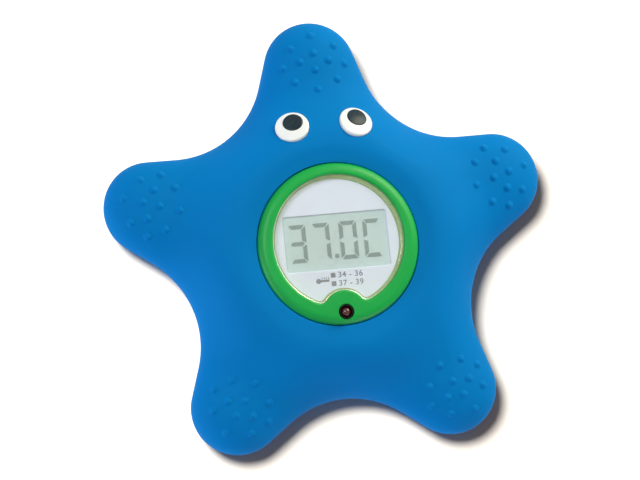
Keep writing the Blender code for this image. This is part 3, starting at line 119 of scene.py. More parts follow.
# Lamp
LED_DISTANCE = 0.01859
LED_RADIUS = 0.00145
LED_LENGTH = 0.0027
LED_PROUD = 0.0001
LED_SLEEVE_WALL = 0.00035
LED_LEAD_PITCH = 0.00254
LED_LEAD_RADIUS = 0.00025

# Dial face and display
FACE_THICKNESS = 0.0008
LCD_WIDTH = 0.0296
LCD_HEIGHT = 0.0176
LCD_WINDOW_WIDTH = 0.0284
LCD_WINDOW_HEIGHT = 0.0151
LCD_WINDOW_CORNER = 0.0006
LCD_CENTRE_Y = 0.0009
LCD_LEDGE = 0.0010
LCD_THICKNESS = 0.00195
DIGIT_HEIGHT = 0.0103
DIGIT_WIDTH = 0.0048
DIGIT_STROKE = 0.00105
DIGIT_GAP = 0.0003
DIGIT_RELIEF = 0.0001
DIGIT_RAISE = 0.00025
DIGIT_LEFTS = (0.0014, 0.0079, 0.0154, 0.0220)
DIGIT_SEGMENTS = ("abcdg", "abc", "abcdef", "adef")
POINT_X = 0.0142
POINT_SIDE = 0.0011

# Frame lugs, battery well and door, probe and water contacts
LUG_RADIUS = 0.02519
THIRDS = (90, 210, 330)  # degrees, for the frame's lugs and the door's screws
FRAME_BOSS_RADIUS = 0.0023
LUG_THICKNESS = 0.0014
WELL_RADIUS = 0.0110
WELL_WALL = 0.0018
WELL_CEILING = 0.0078
WELL_WEB = 0.0016
DOOR_RADIUS = 0.0180
DOOR_THICKNESS = 0.0018
DOOR_PLUG_HEIGHT = 0.0014
DOOR_SCREW_DISTANCE = 0.0158
DOOR_SEAL_RADIUS = 0.0129
DOOR_SEAL_SECTION = 0.0006
DOOR_BOSS_RADIUS = 0.0022
DOOR_BEVEL = 0.0003
CONTACT_WIDTH = 0.0030
CONTACT_THICKNESS = 0.0003
CELL_RADIUS = 0.0100
PROBE_DISTANCE = 0.0260
PROBE_RADIUS = 0.00285
PROBE_WALL = 0.0004
PROBE_FLANGE = 0.0014
PROBE_RECESS = 0.0018
STUD_SPREAD = 20
STUD_RADIUS = 0.0012
STUD_HEAD_RADIUS = 0.0022
STUD_HEAD = 0.0006
STUD_LENGTH = 0.0047
BASE_RECESS = 0.0003

# Screws: head radius, head height, shank radius, length under the head
SHELL_SCREW = (0.0022, 0.0013, 0.00105, 0.0093)
FRAME_SCREW = (0.0017, 0.0010, 0.00085, 0.0061)
DOOR_SCREW = (0.0016, 0.0008, 0.00085, 0.0056)
SHELL_SCREW_SETBACK = 0.0033
SHELL_BOSS_WALL = 0.0018
SHELL_POST_WALL = 0.0009
SHELL_SCREW_SEAT = 0.0055

# Facets
TIP_STEPS = 18
SIDE_STEPS = 4
VALLEY_STEPS = 10
WINDOW_STEPS = (14, 10, 52)  # tongue, corner and wall
CORNER_STEPS = 6
ROUND_STEPS = 128
DISC_STEPS = 96
LAMP_STEPS = 64
SMALL_ROUND_STEPS = 48
HOLE_STEPS = 32
SHARP_ANGLE = radians(32)

# Values that follow from the sizes above
ARM_ANGLE = 2 * pi / ARMS
TIP_CENTRE = ARM_REACH - ARM_TIP_RADIUS
TIP_ALONG_VALLEY = TIP_CENTRE * cos(ARM_ANGLE / 2)
VALLEY_RADIUS = (
    ARM_TIP_RADIUS**2 + ARM_SIDE**2 - VALLEY_REACH**2 - TIP_CENTRE**2
    + 2 * VALLEY_REACH * TIP_ALONG_VALLEY
) / (2 * (VALLEY_REACH - TIP_ALONG_VALLEY - ARM_TIP_RADIUS))
VALLEY_CENTRE = VALLEY_REACH + VALLEY_RADIUS
FRONT_RIM = SEAM_HEIGHT + SEAT_GAP / 2
BACK_RIM = SEAM_HEIGHT - SEAT_GAP / 2
GROOVE_START = (RIM_WIDTH - GROOVE_WIDTH) / 2
SHELL_SCREW_DISTANCE = TIP_CENTRE - SHELL_SCREW_SETBACK
CREST_RADIUS = BEZEL_RADIUS + SLIDE_GAP + DISH_WIDTH
BEZEL_TOP = SEAM_HEIGHT + DOME_CROWN + BEZEL_PROUD
FLANGE_BOTTOM = BEZEL_TOP - BEZEL_FLANGE
POCKET_FLOOR = FLANGE_BOTTOM - SEAL_THICKNESS - 2 * CLOSE_GAP
WINDOW_EDGE = BEZEL_TOP - WINDOW_ROUNDING
LENS_SEAT = WINDOW_EDGE - LENS_INSET - LENS_THICKNESS - SEAT_GAP
FACE_SEAT = LENS_SEAT - LENS_SEAT_DEPTH
FACE_TOP = FACE_SEAT - SEAT_GAP
FACE_BOTTOM = FACE_TOP - FACE_THICKNESS
FACE_RADIUS = SKIRT_INNER - 2 * CLOSE_GAP
LCD_TOP = FACE_BOTTOM - SEAT_GAP - DIGIT_RELIEF
LCD_BOTTOM = LCD_TOP - LCD_THICKNESS
SKIRT_END = FLANGE_BOTTOM - SKIRT_DEPTH
LED_TOP = BEZEL_TOP + LED_PROUD
LED_BOTTOM = LED_TOP - LED_LENGTH
LAMP_PLACE = (0.0, -LED_DISTANCE)
SLEEVE_RADIUS = LED_RADIUS + CLOSE_GAP + LED_SLEEVE_WALL
DOOR_RECESS = DOOR_RADIUS + SLIDE_GAP
DOOR_SEAT = DOOR_THICKNESS + SEAT_GAP
STUD_X = PROBE_DISTANCE * sin(radians(STUD_SPREAD))
STUD_Y = PROBE_DISTANCE * cos(radians(STUD_SPREAD))
SIDES = ((-1, "left"), (1, "right"))
JOIN, CUT = "UNION", "DIFFERENCE"

# Colours, as linear light
BLUE = (0.001, 0.197, 0.590)
GREEN = (0.003, 0.300, 0.057)
EYE_WHITE = (0.86, 0.91, 0.99)
FACE_WHITE = (0.69, 0.76, 0.97)
DISPLAY_GREY = (0.51, 0.65, 0.70)
SEGMENT_GREY = (0.19, 0.27, 0.28)
PRINT_GREY = (0.16, 0.17, 0.21)
# The pupils' black, lifted a little above its own black by a painted reflection of the white room
# that its lowered specular no longer gives
BLACK = (0.011, 0.026, 0.039)
LAMP_BLACK = (0.003, 0.004, 0.004)
STEEL = (0.62, 0.62, 0.63)

# Finishes
SHEEN = "Specular IOR Level"
GRAIN = (0.4, 0.01)  # usual width and depth of the grain, in mm
MM = 0.001

# Camera: a long lens almost straight above, with the picture turned a little
VIEW_FROM = Vector((-0.1760, -0.1000, 0.9793))
PICTURE_UP = Vector((0.0845, 0.9885, 0.1257))
CAMERA_DISTANCE = 0.9
CAMERA_LENS = 185.0
LOOK_RIGHT = -0.00241
LOOK_UP = 0.00275

# Lamps: where from, distance, diameter, level on a white card that faces them, colour
LAMPS = {
    "key": ((-0.42, 0.24, 1.0), 1.2, 0.34, 0.37, (1.0, 1.0, 1.0)),
    "shadow": ((-0.39, 0.28, 1.0), 1.2, 0.38, 1.55, (0.76, 0.88, 1.0)),
    "right": ((1.0, 0.9, 0.8), 0.6, 0.42, 0.98, (1.0, 0.98, 0.76)),
    "left": ((-1.0, -0.3, 0.12), 0.6, 0.34, 0.55, (0.93, 0.98, 1.0)),
    "gloss": ((0.55, 0.55, 0.75), 0.6, 0.30, 0.38, (1.0, 0.93, 0.45)),
    "front": ((0.45, -1.0, 0.15), 0.6, 0.34, 0.36, (0.93, 0.98, 1.0)),
}
FLOOR_HALF = 0.30
FLOOR_SEEN = (1.0, 0.84, 0.68)
FLOOR_LIT = (0.6, 0.6, 0.6)  # as it reflects on the part
FLOOR_FADE = (0.09, 0.15)  # distances between which it turns plain white
WORLD_LEVEL = 0.11
WORLD_COLOUR = (1.0, 0.76, 0.50)


# Flat geometry


def polar(radius, angle):
    return Vector((radius * cos(angle), radius * sin(angle)))


def arc(centre, radius, start, end, steps):
    """Points along an arc, without its last one."""
    return [centre + polar(radius, start + (end - start) * i / steps) for i in range(steps)]


def bend(angles, x, y, width, height):
    """Points (x, y) of an ellipse round a centre, at these angles."""
    turns = [radians(angle) for angle in angles]
    return [(x + width * cos(turn), y + height * sin(turn)) for turn in turns]


def mirrored(right, top):
    """An outline from its right half, which starts on the mirror line, and its top point."""
    return [*right, top, *[Vector((-p.x, p.y)) for p in reversed(right[1:])]]


def arm_side():
    """Half an arm that points along +Y: tip centre, valley centre and the side's normal angle."""
    tip = Vector((0.0, TIP_CENTRE))
    valley = polar(VALLEY_CENTRE, pi / 2 - ARM_ANGLE / 2)
    between = valley - tip
    lean = atan2(ARM_SIDE, ARM_TIP_RADIUS + VALLEY_RADIUS)
    return tip, valley, atan2(between.y, between.x) + lean


def star_outline(inset):
    """The starfish outline moved inwards, anticlockwise, starting between two arms."""
    tip, valley, normal = arm_side()
    tip_radius = ARM_TIP_RADIUS - inset
    valley_radius = VALLEY_RADIUS + inset
    valley_middle = pi * 1.5 - ARM_ANGLE / 2
    right = arc(valley, valley_radius, valley_middle, normal + pi, VALLEY_STEPS)
    side_end = tip + polar(tip_radius, normal)
    side_start = valley + polar(valley_radius, normal + pi)
    right += [side_start.lerp(side_end, i / SIDE_STEPS) for i in range(SIDE_STEPS)]
    right += arc(tip, tip_radius, normal, pi / 2, TIP_STEPS)
    arm = mirrored(right, tip + polar(tip_radius, pi / 2))
    turns = [Matrix.Rotation(k * ARM_ANGLE, 2) for k in range(ARMS)]
    return [turn @ p for turn in turns for p in arm]


def edge_distance(x, y):
    """How far a point lies inside the starfish outline."""
    tip, valley, normal = SIDE
    radius = hypot(x, y)
    angle = (atan2(y, x) - pi / 2 + ARM_ANGLE / 2) % ARM_ANGLE - ARM_ANGLE / 2
    point = Vector((abs(radius * sin(angle)), radius * cos(angle)))
    outward = polar(1.0, normal)
    start = tip + ARM_TIP_RADIUS * outward
    end = valley - VALLEY_RADIUS * outward
    along = (point - start).dot(end - start) / (end - start).length_squared
    if along < 0:
        return ARM_TIP_RADIUS - (point - tip).length
    if along > 1:
        return (point - valley).length - VALLEY_RADIUS
    return (start - point).dot(outward)


SIDE = arm_side()
COMPASS = [
    tuple(polar(reach, k * pi / 4 + turn))
    for reach, turn in ((1.0, 0.0), (0.55, 0.4))
    for k in range(8)
]
STAR_DIRECTIONS = [p.normalized() for p in star_outline(0.0)]


def smooth(share):
    """Smooth step from 0 to 1."""
    share = min(1.0, max(0.0, share))
    return share * share * (3 - 2 * share)


def crown(radius):
    """Height of the body above the seam, away from its edge."""
    share = (DOME_FOOT_RADIUS - radius) / (DOME_FOOT_RADIUS - CREST_RADIUS)
    return ARM_CROWN + (DOME_CROWN - ARM_CROWN) * smooth(share)


def roundness(distance, width):
    """Share of the full height that a rounded edge has reached so far from the outline."""
    share = min(1.0, max(0.0, distance / width))
    return sqrt(1 - (1 - share) ** 2)


def dish(radius):
    """Depth of the dished ring round the bezel, which eases in at the crest."""
    share = (CREST_RADIUS - radius) / DISH_WIDTH
    if share < 0:
        return 0.0
    if share < DISH_SOFTNESS:
        return DISH_DEPTH * share**2 / (2 * DISH_SOFTNESS)
    return DISH_DEPTH * (share - DISH_SOFTNESS / 2)


def body_height(x, y):
    """Height of the front shell's outer surface, without the dish."""
    return SEAM_HEIGHT + crown(hypot(x, y)) * roundness(edge_distance(x, y), ARM_TIP_RADIUS)


def top_height(x, y):
    """Height of the outer surface, with its ridges softened away from the outline."""
    reach = min(SOFTENING, SOFTENING_SHARE * edge_distance(x, y))
    around_point = sum(body_height(x + reach * u, y + reach * v) for u, v in COMPASS) / len(COMPASS)
    return (body_height(x, y) + 3 * around_point) / 4 - dish(hypot(x, y))


def ceiling_height(x, y):
    """Height of the front shell's inner surface, one wall under the outer one."""
    inner = edge_distance(x, y) - WALL
    rise = crown(hypot(x, y)) - WALL
    return SEAM_HEIGHT + rise * roundness(inner, ARM_TIP_RADIUS - WALL)


def at_height(points, height):
    """The flat points lifted to one height, or to a height function of x and y."""
    if callable(height):
        return [Vector((p.x, p.y, height(p.x, p.y))) for p in points]
    return [Vector((p.x, p.y, height)) for p in points]


def star_loop(inset, height):
    return at_height(star_outline(inset), height)


def star_circle(radius, height):
    """A circle whose points lie at the same angles as the starfish outline's."""
    return at_height([p * radius for p in STAR_DIRECTIONS], height)


def between_loop(inset, radius, share, height):
    """A loop part of the way from the inset outline to a circle."""
    outline = star_outline(inset)
    points = [p.lerp(q * radius, share) for p, q in zip(outline, STAR_DIRECTIONS)]
    return at_height(points, height)


def window_outline(inset):
    """The bezel's window with the lamp's tongue, moved inwards, anticlockwise from the tongue."""
    centre = Vector((0.0, WINDOW_OFFSET))
    lamp = Vector(LAMP_PLACE)
    gap = WINDOW_OFFSET + LED_DISTANCE
    to_centre = WINDOW_RADIUS - WINDOW_CORNER
    to_lamp = BUMP_RADIUS + WINDOW_CORNER
    up = (to_lamp**2 - to_centre**2 + gap**2) / (2 * gap)
    corner = Vector((sqrt(to_lamp**2 - up**2), up - LED_DISTANCE))
    bump_angle = atan2(corner.y - lamp.y, corner.x - lamp.x)
    wall_angle = atan2(corner.y - centre.y, corner.x - centre.x)
    bump_steps, corner_steps, wall_steps = WINDOW_STEPS
    right = arc(lamp, BUMP_RADIUS + inset, pi / 2, bump_angle, bump_steps)
    right += arc(corner, WINDOW_CORNER - inset, bump_angle - pi, wall_angle, corner_steps)
    right += arc(centre, WINDOW_RADIUS - inset, wall_angle, pi / 2, wall_steps)
    return mirrored(right, centre + polar(WINDOW_RADIUS - inset, pi / 2))


def window_loop(inset, height):
    return at_height(window_outline(inset), height)


def window_circle(radius, height):
    """A circle whose points lie at the same angles as the window outline's."""
    return at_height([p.normalized() * radius for p in window_outline(0.0)], height)


def rounded_box(width, height, corner, centre, side_steps=1):
    """Outline of a rectangle with rounded corners, anticlockwise."""
    points = []
    corners = [
        Vector(centre) + Vector((sx * (width / 2 - corner), sy * (height / 2 - corner)))
        for sx, sy in ((1, 1), (-1, 1), (-1, -1), (1, -1))
    ]
    for index, middle in enumerate(corners):
        start = index * pi / 2
        points += arc(middle, corner, start, start + pi / 2, CORNER_STEPS)
        end = middle + polar(corner, start + pi / 2)
        after = corners[(index + 1) % 4] + polar(corner, start + pi / 2)
        points += [end.lerp(after, i / side_steps) for i in range(side_steps)]
    return points


# Meshes


def add_object(name, data):
    obj = bpy.data.objects.new(name, data)
    bpy.context.scene.collection.objects.link(obj)
    return obj


def mesh_object(name, bm):
    """A piece from a bmesh, or a tool that carve() uses up."""
    mesh = bpy.data.meshes.new(name)
    bm.to_mesh(mesh)
    bm.free()
    return add_object(name, mesh)


def add_skin(bm, loops, closed):
    """Faces through loops of equally many points: a closed ring of them, or capped."""
    rows = [[bm.verts.new(p) for p in loop] for loop in loops]
    pairs = list(zip(rows, rows[1:]))
    if closed:
        pairs.append((rows[-1], rows[0]))
    for lower, upper in pairs:
        for i, j in zip(range(len(lower)), [*range(1, len(lower)), 0]):
            bm.faces.new((lower[i], lower[j], upper[j], upper[i]))
    if not closed:
        bm.faces.new(rows[0])
        bm.faces.new(rows[-1])


def loft(name, loops, closed=True):
    """A solid skinned through loops."""
    bm = bmesh.new()
    add_skin(bm, loops, closed)
    bmesh.ops.recalc_face_normals(bm, faces=bm.faces)
    return mesh_object(name, bm)


def add_turned(bm, profile, steps, at):
    """Turned faces, at the points that at(radius, angle, height) gives.

    The profile of (radius, height) runs down the outer side.
    """
    rows = []
    for radius, height in profile:
        if radius == 0:
            rows.append([bm.verts.new(at(0.0, 0.0, height))] * steps)
        else:
            angles = [2 * pi * i / steps for i in range(steps)]
            rows.append([bm.verts.new(at(radius, angle, height)) for angle in angles])
    pairs = list(zip(rows, rows[1:]))
    if profile[0][0] > 0:
        pairs.append((rows[-1], rows[0]))
    for upper, lower in pairs:
        for i in range(steps):
            j = (i + 1) % steps
            bm.faces.new(tuple(dict.fromkeys((upper[i], lower[i], lower[j], upper[j]))))


def turned(name, profile, steps=ROUND_STEPS, place=Matrix()):
    bm = bmesh.new()
    add_turned(bm, profile, steps, lambda radius, angle, height: (*polar(radius, angle), height))
    bmesh.ops.recalc_face_normals(bm, faces=bm.faces)
    bmesh.ops.transform(bm, matrix=place, verts=bm.verts)
    return mesh_object(name, bm)


def bores(places, bottom, top, lower, upper=None):
    """The same upright cylinder or cone at each (x, y) place, as cylinders() takes it."""
    return [(x, y, bottom, top, lower, lower if upper is None else upper) for x, y in places]


def cylinders(name, shapes, steps=HOLE_STEPS, turn=Matrix()):
    """Upright cylinders given as (x, y, bottom, top, lower radius, upper radius), in one object."""
    bm = bmesh.new()
    half_step = Matrix.Rotation(pi / steps, 4, "Z")
    for x, y, bottom, top, lower, upper in shapes:
        place = turn @ Matrix.Translation((x, y, (top + bottom) / 2)) @ half_step
        shape = {"segments": steps, "radius1": lower, "radius2": upper, "depth": top - bottom}
        bmesh.ops.create_cone(bm, cap_ends=True, matrix=place, **shape)
    return mesh_object(name, bm)


def add_block(bm, centre, size):
    place = Matrix.Translation(centre) @ Matrix.Diagonal((*size, 1.0))
    bmesh.ops.create_cube(bm, size=1.0, matrix=place)


def boxes(name, blocks):
    """Blocks given as (centre, size), in one object."""
    bm = bmesh.new()
    for centre, size in blocks:
        add_block(bm, centre, size)
    return mesh_object(name, bm)


def carve(obj, steps):
    """Joins tools to a piece or cuts them out of it, in order, and throws the tools away."""
    for tool, operation in steps:
        modifier = obj.modifiers.new(tool.name, "BOOLEAN")
        modifier.operation = operation
        modifier.object = tool
    graph = bpy.context.evaluated_depsgraph_get()
    carved = bpy.data.meshes.new_from_object(obj.evaluated_get(graph))
    old = obj.data
    obj.modifiers.clear()
    obj.data = carved
    bpy.data.meshes.remove(old)
    for tool, _ in steps:
        bpy.data.objects.remove(tool, do_unlink=True)


def around(radius, angles):
    """Places on a circle as (x, y)."""
    return [tuple(polar(radius, radians(angle))) for angle in angles]


ARM_SCREWS = around(SHELL_SCREW_DISTANCE, [90 + degrees(ARM_ANGLE) * k for k in range(ARMS)])


def finish(obj, name):
    """A finish and smooth shading, with the real edges kept sharp."""
    obj.data.materials.append(FINISHES[name])
    obj.data.shade_smooth()
    obj.data.set_sharp_from_angle(angle=SHARP_ANGLE)


def put(obj, slot, *nodes, look=None):
    """Finishes a piece and fixes it to the body, in place of the CAD nodes that it stands for."""
    finish(obj, look or slot)
    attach(obj, "root")
    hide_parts(*nodes)
    return obj


# Materials


def feed(tree, node, inputs):
    """Sets a node's inputs to constants, or links them to other nodes' outputs."""
    for label, value in inputs.items():
        if isinstance(value, bpy.types.NodeSocket):
            tree.links.new(value, node.inputs[label])
        else:
            node.inputs[label].default_value = value


def add_node(tree, kind, inputs, operation=None):
    node = tree.nodes.new(kind)
    if operation is not None:
        node.operation = operation
    feed(tree, node, inputs)
    return node


def maths(tree, operation, first, second):
    return add_node(tree, "ShaderNodeMath", {0: first, 1: second}, operation).outputs["Value"]


def mix_shaders(tree, share, first, second, output="Material Output"):
    """The first shader where the share is 0, and the second where it is 1."""
    mix = add_node(tree, "ShaderNodeMixShader", {"Fac": share, 1: first, 2: second})
    feed(tree, tree.nodes[output], {"Surface": mix.outputs["Shader"]})


def new_material(name, inputs):
    made = bpy.data.materials.new(name)
    made.use_nodes = True
    shader = made.node_tree.nodes["Principled BSDF"]
    feed(made.node_tree, shader, inputs)
    return made, made.node_tree, shader


def noise(tree, size, detail):
    """Noise in the object's own space, with lumps about that many millimetres across."""
    place = tree.nodes.new("ShaderNodeTexCoord").outputs["Object"]
    lumps = {"Vector": place, "Scale": 1 / (size * MM), "Detail": detail}
    return add_node(tree, "ShaderNodeTexNoise", lumps).outputs["Fac"]


def ranged(tree, value, low, high):
    """The middle of a noise value spread from low to high."""
    spread = {"Value": value, "From Min": 0.3, "From Max": 0.7, "To Min": low, "To Max": high}
    return add_node(tree, "ShaderNodeMapRange", spread).outputs["Result"]


def mixed(tree, share, first, second):
    """A colour between two, by a share that a node gives."""
    node = tree.nodes.new("ShaderNodeMix")
    node.data_type = "RGBA"
    colours = [socket for socket in node.inputs if socket.type == "RGBA"]
    for socket, colour in zip(colours, (first, second)):
        socket.default_value = (*colour, 1.0)
    tree.links.new(share, node.inputs["Factor"])
    return next(socket for socket in node.outputs if socket.type == "RGBA")


def shaded(colour, share):
    return tuple(max(0.0, value * (1 + share)) for value in colour)


def surface(name, colour, roughness, vary, patch, uneven, grain=GRAIN[0], bump=GRAIN[1], more=None):
    """A moulded, printed or metal finish: broad colour patches, uneven gloss and a fine grain."""
    constants = {"Base Color": (*colour, 1.0), "Roughness": roughness, **(more or {})}
    made, tree, shader = new_material(name, constants)
    patches = ranged(tree, noise(tree, patch, 3.0), 0.0, 1.0)
    gloss = noise(tree, patch / 4, 4.0)
    relief = {"Strength": 1.0, "Distance": bump * MM, "Height": noise(tree, grain, 2.0)}
    links = {
        "Base Color": mixed(tree, patches, shaded(colour, -vary), shaded(colour, vary)),
        "Roughness": ranged(tree, gloss, roughness - uneven, roughness + uneven),
        "Normal": add_node(tree, "ShaderNodeBump", relief).outputs["Normal"],
    }
    feed(tree, shader, links)
    return made


def clear_plastic(name, colour, roughness):
    """Clear moulded plastic that lets the lamps through to the dial."""
    clear = {"Transmission Weight": 1.0, "IOR": 1.49}
    made = surface(name, colour, roughness, 0.01, 12, 0.015, 2, 0.001, clear)
    tree = made.node_tree
    path = tree.nodes.new("ShaderNodeLightPath").outputs
    lighting = maths(tree, "MAXIMUM", path["Is Shadow Ray"], path["Diffuse Depth"])
    shader = tree.nodes["Principled BSDF"].outputs["BSDF"]
    through = tree.nodes.new("ShaderNodeBsdfTransparent").outputs["BSDF"]
    mix_shaders(tree, lighting, shader, through)
    return made


def make_materials():
    """One finish for each of the record's slots, and some more that share a slot.

    A row gives the colour, the roughness, the share by which the colour varies, the width of its
    patches and the range of the roughness, and then the width and depth of the grain and the
    shader's other settings, where they differ from the usual. Widths and depths are in mm.
    """
    metal = {"Metallic": 1.0}
    rows = {
        "blue_soft_plastic": ("blue_soft", BLUE, 0.65, 0.03, 20, 0.04, 0.5, 0.01, {SHEEN: 0.04}),
        "green_gloss_plastic": ("green_gloss", GREEN, 0.4, 0.05, 10, 0.03, 1, 0.003, {SHEEN: 0.25}),
        "white_gloss_plastic": ("eye_white", EYE_WHITE, 0.2, 0.02, 4, 0.04, 0.6, 0.004),
        "white_dial": ("dial_white", FACE_WHITE, 0.45, 0.015, 10, 0.05, 0.3, 0.004),
        "black_plastic": ("black_gloss", BLACK, 0.25, 0.2, 3, 0.06, 0.5, 0.004, {SHEEN: 0.2}),
        "dark_rubber": ("rubber", (0.03, 0.03, 0.032), 0.75, 0.15, 4, 0.08, 0.3, 0.02),
        "display_glass": ("display_grey", DISPLAY_GREY, 0.3, 0.02, 8, 0.05, 0.4, 0.003),
        "white_frame_plastic": ("frame_white", (0.8, 0.8, 0.79), 0.5, 0.03, 8, 0.06),
        "green_circuit_board": ("board_green", (0.01, 0.14, 0.05), 0.35, 0.12, 3, 0.08),
        "stainless_steel": ("steel", STEEL, 0.28, 0.05, 4, 0.06, 0.3, 0.006, metal),
        "screw_steel": ("screw_steel", STEEL, 0.32, 0.08, 2, 0.08, 0.2, 0.008, metal),
        "nickel_spring_strip": ("nickel", (0.7, 0.68, 0.62), 0.33, 0.06, 3, 0.06, *GRAIN, metal),
        "red_lamp": ("lamp_red", (0.07, 0.006, 0.006), 0.08, 0.08, 2, 0.02, 1, 0.001),
        "tan_ceramic": ("ceramic", (0.45, 0.3, 0.16), 0.5, 0.1, 1, 0.08),
        "black_wire": ("wire_black", (0.02, 0.02, 0.022), 0.45, 0.15, 2, 0.06),
        "red_wire": ("wire_red", (0.5, 0.02, 0.02), 0.45, 0.1, 2, 0.06),
        "lamp_black": ("lamp_black", LAMP_BLACK, 0.4, 0.2, 2, 0.05, *GRAIN, {SHEEN: 0.1}),
        # Wall under the lens: the bezel's own green, paled to olive-gold by a painted reflection
        # and a painted warm highlight
        "bezel_wall_painted_reflection": ("green_wall", (0.24, 0.35, 0.15), 0.6, 0.05, 4, 0.05, *GRAIN, {SHEEN: 0.15}),
        "display_segments": ("segment_ink", SEGMENT_GREY, 0.35, 0.04, 2, 0.04),
        "dial_print": ("print_ink", PRINT_GREY, 0.5, 0.06, 1, 0.05),
    }
    finishes = {slot: surface(*row) for slot, row in rows.items()}
    finishes["clear_plastic"] = clear_plastic("clear_window", (0.97, 0.985, 0.98), 0.04)
    # The lens side's olive-gold tint is a painted reflection of the green wall and warm light; the
    # lens itself is clear
    finishes["window_edge"] = clear_plastic("clear_edge_painted_reflection", (0.72, 0.78, 0.38), 0.4)
    return finishes


# Body


def surface_frame(x, y):
    """Placement on the front shell: local Z is the surface normal, and local Y runs up the arm."""
    step = 0.0005
    slope_x = (top_height(x + step, y) - top_height(x - step, y)) / (2 * step)
    slope_y = (top_height(x, y + step) - top_height(x, y - step)) / (2 * step)
    normal = Vector((-slope_x, -slope_y, 1.0)).normalized()
    side = Vector((0.0, 1.0, 0.0)).cross(normal).normalized()
    placed = Matrix((side, normal.cross(side), normal)).transposed().to_4x4()
    placed.translation = (x, y, top_height(x, y))
    return placed


def add_nub(bm, x, y):
    """A soft round nub that flares into the shell's surface and is closed underneath it."""
    steps = 20
    rings = 9
    fullness = 1.25
    sink = 0.00003
    under = -WALL / 4
    placed = surface_frame(x, y)
    normal = placed.to_3x3().col[2]

    def on_surface(radius, angle, rise):
        point = placed @ polar(radius, angle).to_3d()
        return Vector((point.x, point.y, top_height(point.x, point.y))) + normal * rise

    shares = [i / rings for i in range(1, rings + 1)]
    flank = [(NUB_FOOT * s, NUB_HEIGHT * (1 - smooth(s**fullness)) - sink) for s in shares]
    profile = [(0.0, NUB_HEIGHT), *flank, (NUB_FOOT * 0.8, under), (0.0, under)]
    add_turned(bm, profile, steps, on_surface)


def nub_places():
    """The (x, y) places of every nub, arm by arm."""
    places = []
    for k in range(ARMS):
        turn = Matrix.Rotation(k * ARM_ANGLE, 2)
        for out, spread in NUB_ROWS:
            for side in (-spread, spread) if spread else (0.0,):
                places.append(turn @ Vector((side, TIP_CENTRE + out)))
    return places


def front_shell():
    """Domed shell with a rounded edge, a dished ring and a seat for the bezel, and its nubs."""
    edge_angles = (3, 7, 12, 18, 25, 33, 42, 52, 63, 74, 84)
    inner_angles = (84, 72, 60, 49, 38)
    dome_steps, dish_steps, ceiling_steps = 20, 8, 6
    lip = 0.0003
    edge = [p[0] for p in bend(edge_angles, ARM_TIP_RADIUS, 0.0, -ARM_TIP_RADIUS, 0.0)]
    inner = [p[0] for p in bend(inner_angles, ARM_TIP_RADIUS, 0.0, WALL - ARM_TIP_RADIUS, 0.0)]
    dome = [i / dome_steps for i in range(1, dome_steps)]
    slope = [CREST_RADIUS - (DISH_WIDTH - lip) * i / dish_steps for i in range(dish_steps + 1)]
    ceiling = [1 - i / ceiling_steps for i in range(1, ceiling_steps)]
    hole = SKIRT_RADIUS + SLIDE_GAP
    pocket = BEZEL_RADIUS + SLIDE_GAP
    pocket_top = top_height(0.0, pocket + lip)
    ledge_edge = hole + LEDGE_WIDTH
    loops = [
        star_loop(RIM_BEVEL, FRONT_RIM), star_loop(0.0, FRONT_RIM + RIM_BEVEL),
        *[star_loop(inset, top_height) for inset in edge],
        *[between_loop(edge[-1], CREST_RADIUS, share, top_height) for share in dome],
        *[star_circle(radius, top_height) for radius in slope],
        star_circle(pocket + lip * 0.3, pocket_top - lip * 0.25),
        star_circle(pocket, pocket_top - lip), star_circle(pocket, POCKET_FLOOR),
        star_circle(hole, POCKET_FLOOR), star_circle(hole, POCKET_FLOOR - LEDGE_THICKNESS),
        star_circle(ledge_edge, ceiling_height),
        *[between_loop(inner[0], ledge_edge, share, ceiling_height) for share in ceiling],
        *[star_loop(inset, ceiling_height) for inset in inner],
        star_loop(RIM_WIDTH, ceiling_height), star_loop(RIM_WIDTH, FRONT_RIM),
    ]
    shell = loft("front_shell_body", loops)

    screw_hole = SHELL_SCREW[2] + CLOSE_GAP
    boss = screw_hole + SHELL_BOSS_WALL
    lug_places = around(LUG_RADIUS, THIRDS)
    arm_boss_top = ceiling_height(0.0, SHELL_SCREW_DISTANCE) + WALL / 2
    lug_boss_top = ceiling_height(0.0, LUG_RADIUS) + WALL / 4
    arm_hole_end = BACK_RIM - SEAM_HEIGHT + SHELL_SCREW_SEAT + SHELL_SCREW[3] + WALL / 4
    lug_hole_end = SKIRT_END + FRAME_SCREW[3] - LUG_THICKNESS
    bosses = bores(ARM_SCREWS, FRONT_RIM, arm_boss_top, boss)
    bosses += bores(lug_places, SKIRT_END, lug_boss_top, FRAME_BOSS_RADIUS)
    holes = bores(ARM_SCREWS, 0.0, arm_hole_end, screw_hole)
    holes += bores(lug_places, 0.0, lug_hole_end, FRAME_SCREW[2] + CLOSE_GAP)
    eye_pocket = bores([(0.0, 0.0)], -EYE_INSET - SEAT_GAP, WALL, EYE_RADIUS + CLOSE_GAP)
    steps = [(cylinders("boss_tool", bosses), JOIN), (cylinders("hole_tool", holes), CUT)]
    for side in (-1, 1):
        placed = surface_frame(side * EYE_SPREAD / 2, EYE_DISTANCE)
        steps.append((cylinders("eye_pocket_tool", eye_pocket, ROUND_STEPS, placed), CUT))
    carve(shell, steps)

    bm = bmesh.new()
    bm.from_mesh(shell.data)
    for place in nub_places():
        add_nub(bm, place.x, place.y)
    bm.to_mesh(shell.data)
    bm.free()
    put(shell, "blue_soft_plastic", "front_shell")


